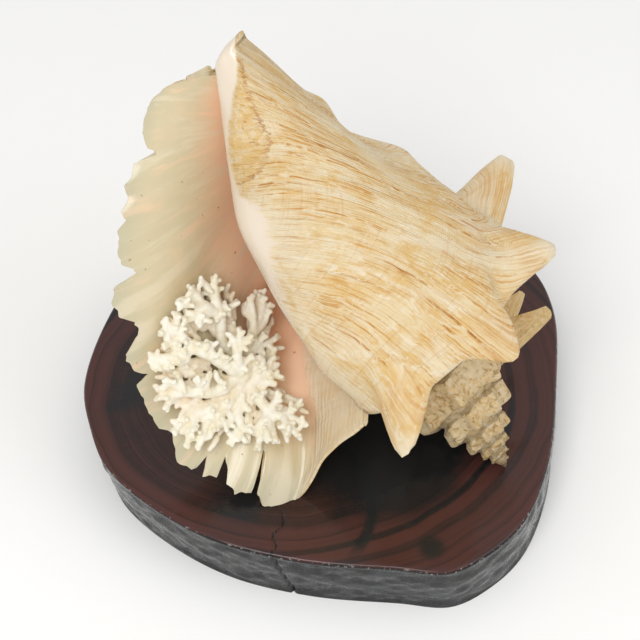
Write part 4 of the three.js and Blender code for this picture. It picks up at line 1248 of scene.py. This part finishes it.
def coral_mesh(rng):
    balls = []
    for (lift_a, r_a), (lift_b, r_b) in zip(CORAL_STEM, CORAL_STEM[1:]):
        add_limb(balls, coral_point(0, 0, lift_a), coral_point(0, 0, lift_b), r_a * 0.9, r_b * 0.9, rng, 0)
    for path, twigs in CORAL_ARMS.values():
        last = len(path) - 1
        radii = [CORAL_THICK + (CORAL_THIN - CORAL_THICK) * i / last for i in range(last + 1)]
        points = [coral_point(*p) for p in path]
        for i in range(last):
            add_limb(balls, points[i], points[i + 1], radii[i], radii[i + 1], rng)
            r_start, r_end, reach = CORAL_KNOB
            add_limb(balls, points[i], points[i] + side_way(points[i + 1] - points[i], rng) * reach, r_start,
                     r_end, rng)
        for start, x, y, lift in twigs:
            base = points[start]
            tip = coral_point(x, y, path[start][2] + lift)
            ahead = tip - base
            length = float(np.linalg.norm(ahead))
            near_tip = tip - ahead / length * CORAL_TIP
            add_limb(balls, base, near_tip, min(radii[start], CORAL_TWIG), CORAL_TIP, rng)
            add_fingers(balls, near_tip, ahead, 3, rng)
            for _ in range(3 if length > 9 else 2 if length > 5 else 1):
                knob = base + ahead * rng.uniform(0.35, 0.85)
                reach = side_way(ahead, rng) * rng.uniform(2.6, 4.2)
                add_limb(balls, knob, knob + reach, CORAL_TIP, CORAL_TIP * 0.8, rng)
    fill_web(balls, rng)
    corners, faces = ball_template()
    table = np.array(balls)
    points = (table[:, None, :3] + corners[None] * table[:, None, 3:]).reshape(-1, 3)
    sides = (faces[None] + len(corners) * np.arange(len(table))[:, None, None]).reshape(-1, 3)
    mesh = bpy.data.meshes.new("coral")
    mesh.from_pydata((points * MM).tolist(), [], sides.tolist())
    return mesh


def coral_material(settings):
    material, shader, n = new_material("coral")
    place_on = n.place()
    mottled, yellowed = n.mottle(place_on, 160.0, 0.35, 0.70, 4.0)
    grain, rough = n.mottle(place_on, 1500.0, 0.30, 0.70)
    tone = n.mix(yellowed, settings.white, settings.yellow)
    relief = n.add_up((grain, 1.0), (mottled, 1.5))
    # The root colour is painted shade and pink light bounced from the lining, on the parts nearest it.
    n.fill(shader, Base_Color=n.over(tone, settings.root, n.layer("depth"), 0.55),
           Roughness=n.blend(rough, 0.45, 0.7), Normal=n.bump(relief, 0.0003, 0.9))
    return material


# Stage

CAMERA_PLACE = (0.0, -0.5176, 0.7052)
CAMERA_TILT = math.radians(40)
CAMERA_LENS = 95.6
CAMERA_SENSOR = 36.0
CAMERA_NEAREST = 0.01
FLOOR_SIDE = 4.0
FLOOR_GRAIN = (0.9, 0.9, 0.89)
# Lights: name, place, width, share of the key light's power, and tint. All of them point at one place.
LIGHTS = (
    ("key", (-0.35, -0.85, 1.25), 0.8, 1.0, (1.0, 0.99, 0.97)),
    ("fill", (1.2, -0.5, 1.1), 1.2, 0.45, (0.97, 0.98, 1.0)),
)
LIGHTS_AIM = (0.0, 0.0, 0.1)


def floor_material(settings):
    material, shader, n = new_material("pale_floor")
    grain = n.mottle(n.place(), 40.0, 0.3, 0.7, 2.0)[1]
    n.fill(shader, Base_Color=n.over(settings.floor, FLOOR_GRAIN, grain, 0.05))
    shader.inputs["Roughness"].default_value = 0.9
    return material


def add_light(name, place_at, width, power, tint):
    data = bpy.data.lights.new(name, "AREA")
    data.shape = "DISK"
    data.size = width
    data.energy = power
    data.color = tint
    lamp = bpy.data.objects.new(name, data)
    lamp.location = place_at
    lamp.rotation_euler = (Vector(LIGHTS_AIM) - Vector(place_at)).to_track_quat("-Z", "Y").to_euler()
    bpy.context.scene.collection.objects.link(lamp)


def link_piece(mesh, name, material, nodes):
    piece = bpy.data.objects.new(name, mesh)
    bpy.context.scene.collection.objects.link(piece)
    mesh.materials.clear()
    mesh.materials.append(material)
    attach(piece, BODY)
    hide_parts(*nodes)


# Settings

def tint(name, description, default):
    return FloatVectorProperty(name=name, description=description, default=colour(default), subtype="COLOR",
                               size=3, min=0.0, max=1.0)


class ConchShellSettings(bpy.types.PropertyGroup):
    cream: tint("Cream", "Main colour of the outside", "E5CFA3")
    chalk: tint("Chalk", "Pale patches and spine tips", "EADDC2")
    tan: tint("Tan", "Warm tone along the spiral cords", "DDB978")
    ochre: tint("Ochre", "Streaks along the cords", "CA9142")
    deep_ochre: tint("Deep ochre", "Darkest streaks", "A96A22")
    spire: tint("Spire", "Colour of the older whorls", "DDBC84")
    grime: tint("Grime", "Specks on the older whorls", "9A7438")
    throat: tint("Throat", "Deepest part of the opening", "F4B690")
    salmon: tint("Salmon", "Inside of the opening", "FFD3B0")
    lip: tint("Lip", "Inside of the flared lip", "D3C6A2")
    margin: tint("Margin", "Thin edge of the lip", "C2BB9E")
    callus: tint("Callus", "Glaze on the body whorl", "EADBC8")


class ConchSlabSettings(bpy.types.PropertyGroup):
    heart: tint("Heartwood", "Main colour of the cut face", "2A1815")
    ring: tint("Rings", "Lighter growth rings", "402621")
    rim: tint("Rim", "Redder wood near the bark", "56302A")
    # The stain colour also paints the shade under the shell.
    stain: tint("Stain", "Near black patches", "181C1E")
    bark: tint("Bark", "Lacquered bark side", "121415")
    bark_light: tint("Light bark", "Worn parts of the bark side", "3C4042")


class ConchCoralSettings(bpy.types.PropertyGroup):
    white: tint("White", "Outer twigs", "F8F4E6")
    yellow: tint("Cream", "Mottling", "EEE5C8")
    # Painted shade and pink bounce light from the lining on the coral's deepest parts.
    root: tint("Root", "Deep parts near the lip", "EACBAA")
    seed: IntProperty(name="Seed", description="Which side knobs grow", default=4, min=0)


class ConchStageSettings(bpy.types.PropertyGroup):
    floor: tint("Floor", "Colour of the floor", "FDFDFC")
    daylight: FloatProperty(name="Daylight", description="Strength of the light from all round", default=0.68,
                            min=0.0, soft_max=3.0)
    key_power: FloatProperty(name="Key light", description="Power of the main light", default=8.5, min=0.0,
                             unit="POWER")


class CONCH_OT_shell(bpy.types.Operator):
    """Build the shell with its spire, spines and flared, toothed lip"""
    bl_idname = "conch.shell"
    bl_label = "Build the shell"

    def execute(self, context):
        meshes = []
        for name, build in (("whorls", inner_whorls), ("wall", free_wall)):
            skin = Skin()
            build(skin)
            meshes.append(skin.mesh(name, shell_frame(), APEX_PLACE))
            tidy_faces(meshes[-1])
        joined = join_solids(*meshes, "conch_shell_dressed")
        joined.shade_smooth()
        joined.set_sharp_from_angle(angle=SHELL_SHARP_ANGLE)
        link_piece(joined, "conch_shell_dressed", shell_material(context.scene.conch_shell),
                   ["conch_shell"])
        return {"FINISHED"}


def tidy_faces(mesh):
    """Makes all faces point out and splits them into triangles."""
    bm = bmesh.new()
    bm.from_mesh(mesh)
    bmesh.ops.triangulate(bm, faces=bm.faces)
    bmesh.ops.recalc_face_normals(bm, faces=bm.faces)
    if bm.calc_volume(signed=True) < 0:
        bmesh.ops.reverse_faces(bm, faces=bm.faces)
    bm.to_mesh(mesh)
    bm.free()


class CONCH_OT_slab(bpy.types.Operator):
    """Build the varnished log slice"""
    bl_idname = "conch.slab"
    bl_label = "Build the slab"

    def execute(self, context):
        mesh = slab_mesh()
        tidy_faces(mesh)
        mesh.shade_smooth()
        mesh.set_sharp_from_angle(angle=SLAB_SHARP_ANGLE)
        link_piece(mesh, "wood_slab_dressed", wood_material(context.scene.conch_slab), ["wood_slab"])
        return {"FINISHED"}


class CONCH_OT_coral(bpy.types.Operator):
    """Build the branching coral in the shell's opening"""
    bl_idname = "conch.coral"
    bl_label = "Build the coral"

    def execute(self, context):
        settings = context.scene.conch_coral
        mesh = coral_mesh(random.Random(settings.seed))
        rough = bpy.data.objects.new("coral_rough", mesh)
        context.scene.collection.objects.link(rough)
        remesh = rough.modifiers.new("fuse", "REMESH")
        remesh.mode = "VOXEL"
        remesh.voxel_size = CORAL_VOXEL * MM
        remesh.use_smooth_shade = True
        smooth = rough.modifiers.new("soften", "SMOOTH")
        smooth.iterations = 3
        smooth.factor = 0.5
        fused = evaluated_copy(rough)
        # How near each corner lies to the lining, for the painted shade and bounce light.
        local = read_values(fused.vertices, "co", len(fused.vertices), 3) / MM - CORAL_HUB
        lining = lining_height(local[:, 0], local @ CORAL_UP, sag=0.0)
        set_layer(fused, "depth", 1 - smoothstep(local @ CORAL_OUT - lining, *CORAL_PAINTED_SHADE_RANGE))
        nodes = [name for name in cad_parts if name.startswith("coral_")]
        link_piece(fused, "coral_dressed", coral_material(settings), nodes)
        return {"FINISHED"}


class CONCH_OT_stage(bpy.types.Operator):
    """Set up the floor, the lights and the camera"""
    bl_idname = "conch.stage"
    bl_label = "Set the stage"

    def execute(self, context):
        settings = context.scene.conch_stage
        mesh = bpy.data.meshes.new("floor")
        corners = [(x * FLOOR_SIDE, y * FLOOR_SIDE, 0) for x, y in ((-1, -1), (1, -1), (1, 1), (-1, 1))]
        mesh.from_pydata(corners, [], [(0, 1, 2, 3)])
        floor = bpy.data.objects.new("floor", mesh)
        mesh.materials.append(floor_material(settings))
        context.scene.collection.objects.link(floor)
        world = bpy.data.worlds.new("studio")
        world.use_nodes = True
        background = world.node_tree.nodes["Background"]
        background.inputs["Color"].default_value = (1.0, 1.0, 1.0, 1.0)
        background.inputs["Strength"].default_value = settings.daylight
        context.scene.world = world
        for name, place_at, width, share, tone in LIGHTS:
            add_light(name, place_at, width, settings.key_power * share, tone)
        lens = bpy.data.cameras.new("camera")
        lens.lens = CAMERA_LENS
        lens.sensor_width = CAMERA_SENSOR
        lens.clip_start = CAMERA_NEAREST
        camera = bpy.data.objects.new("camera", lens)
        camera.location = CAMERA_PLACE
        camera.rotation_euler = (CAMERA_TILT, 0, 0)
        context.scene.collection.objects.link(camera)
        context.scene.camera = camera
        context.scene.view_settings.view_transform = "Standard"
        return {"FINISHED"}


class CONCH_PT_panel(bpy.types.Panel):
    """Lists the steps that build the conch shell on its stand"""
    bl_idname = "CONCH_PT_panel"
    bl_label = "Conch shell on stand"
    bl_space_type = "VIEW_3D"
    bl_region_type = "UI"
    bl_category = "Conch"

    def draw(self, context):
        scene = context.scene
        for operator, settings in (("conch.shell", scene.conch_shell), ("conch.slab", scene.conch_slab),
                                   ("conch.coral", scene.conch_coral), ("conch.stage", scene.conch_stage)):
            box = self.layout.box()
            box.operator(operator)
            for name in settings.__annotations__:
                box.prop(settings, name)


CLASSES = (ConchShellSettings, ConchSlabSettings, ConchCoralSettings, ConchStageSettings, CONCH_OT_shell,
           CONCH_OT_slab, CONCH_OT_coral, CONCH_OT_stage, CONCH_PT_panel)
SETTINGS = (("conch_shell", ConchShellSettings), ("conch_slab", ConchSlabSettings),
            ("conch_coral", ConchCoralSettings), ("conch_stage", ConchStageSettings))


def register():
    for cls in CLASSES:
        bpy.utils.register_class(cls)
    for name, kind in SETTINGS:
        setattr(bpy.types.Scene, name, PointerProperty(type=kind))


def unregister():
    for name, _ in SETTINGS:
        delattr(bpy.types.Scene, name)
    for cls in reversed(CLASSES):
        bpy.utils.unregister_class(cls)


def main():
    register()
    bpy.ops.conch.stage()
    bpy.ops.conch.slab()
    bpy.ops.conch.shell()
    bpy.ops.conch.coral()


if __name__ == "__main__":
    main()
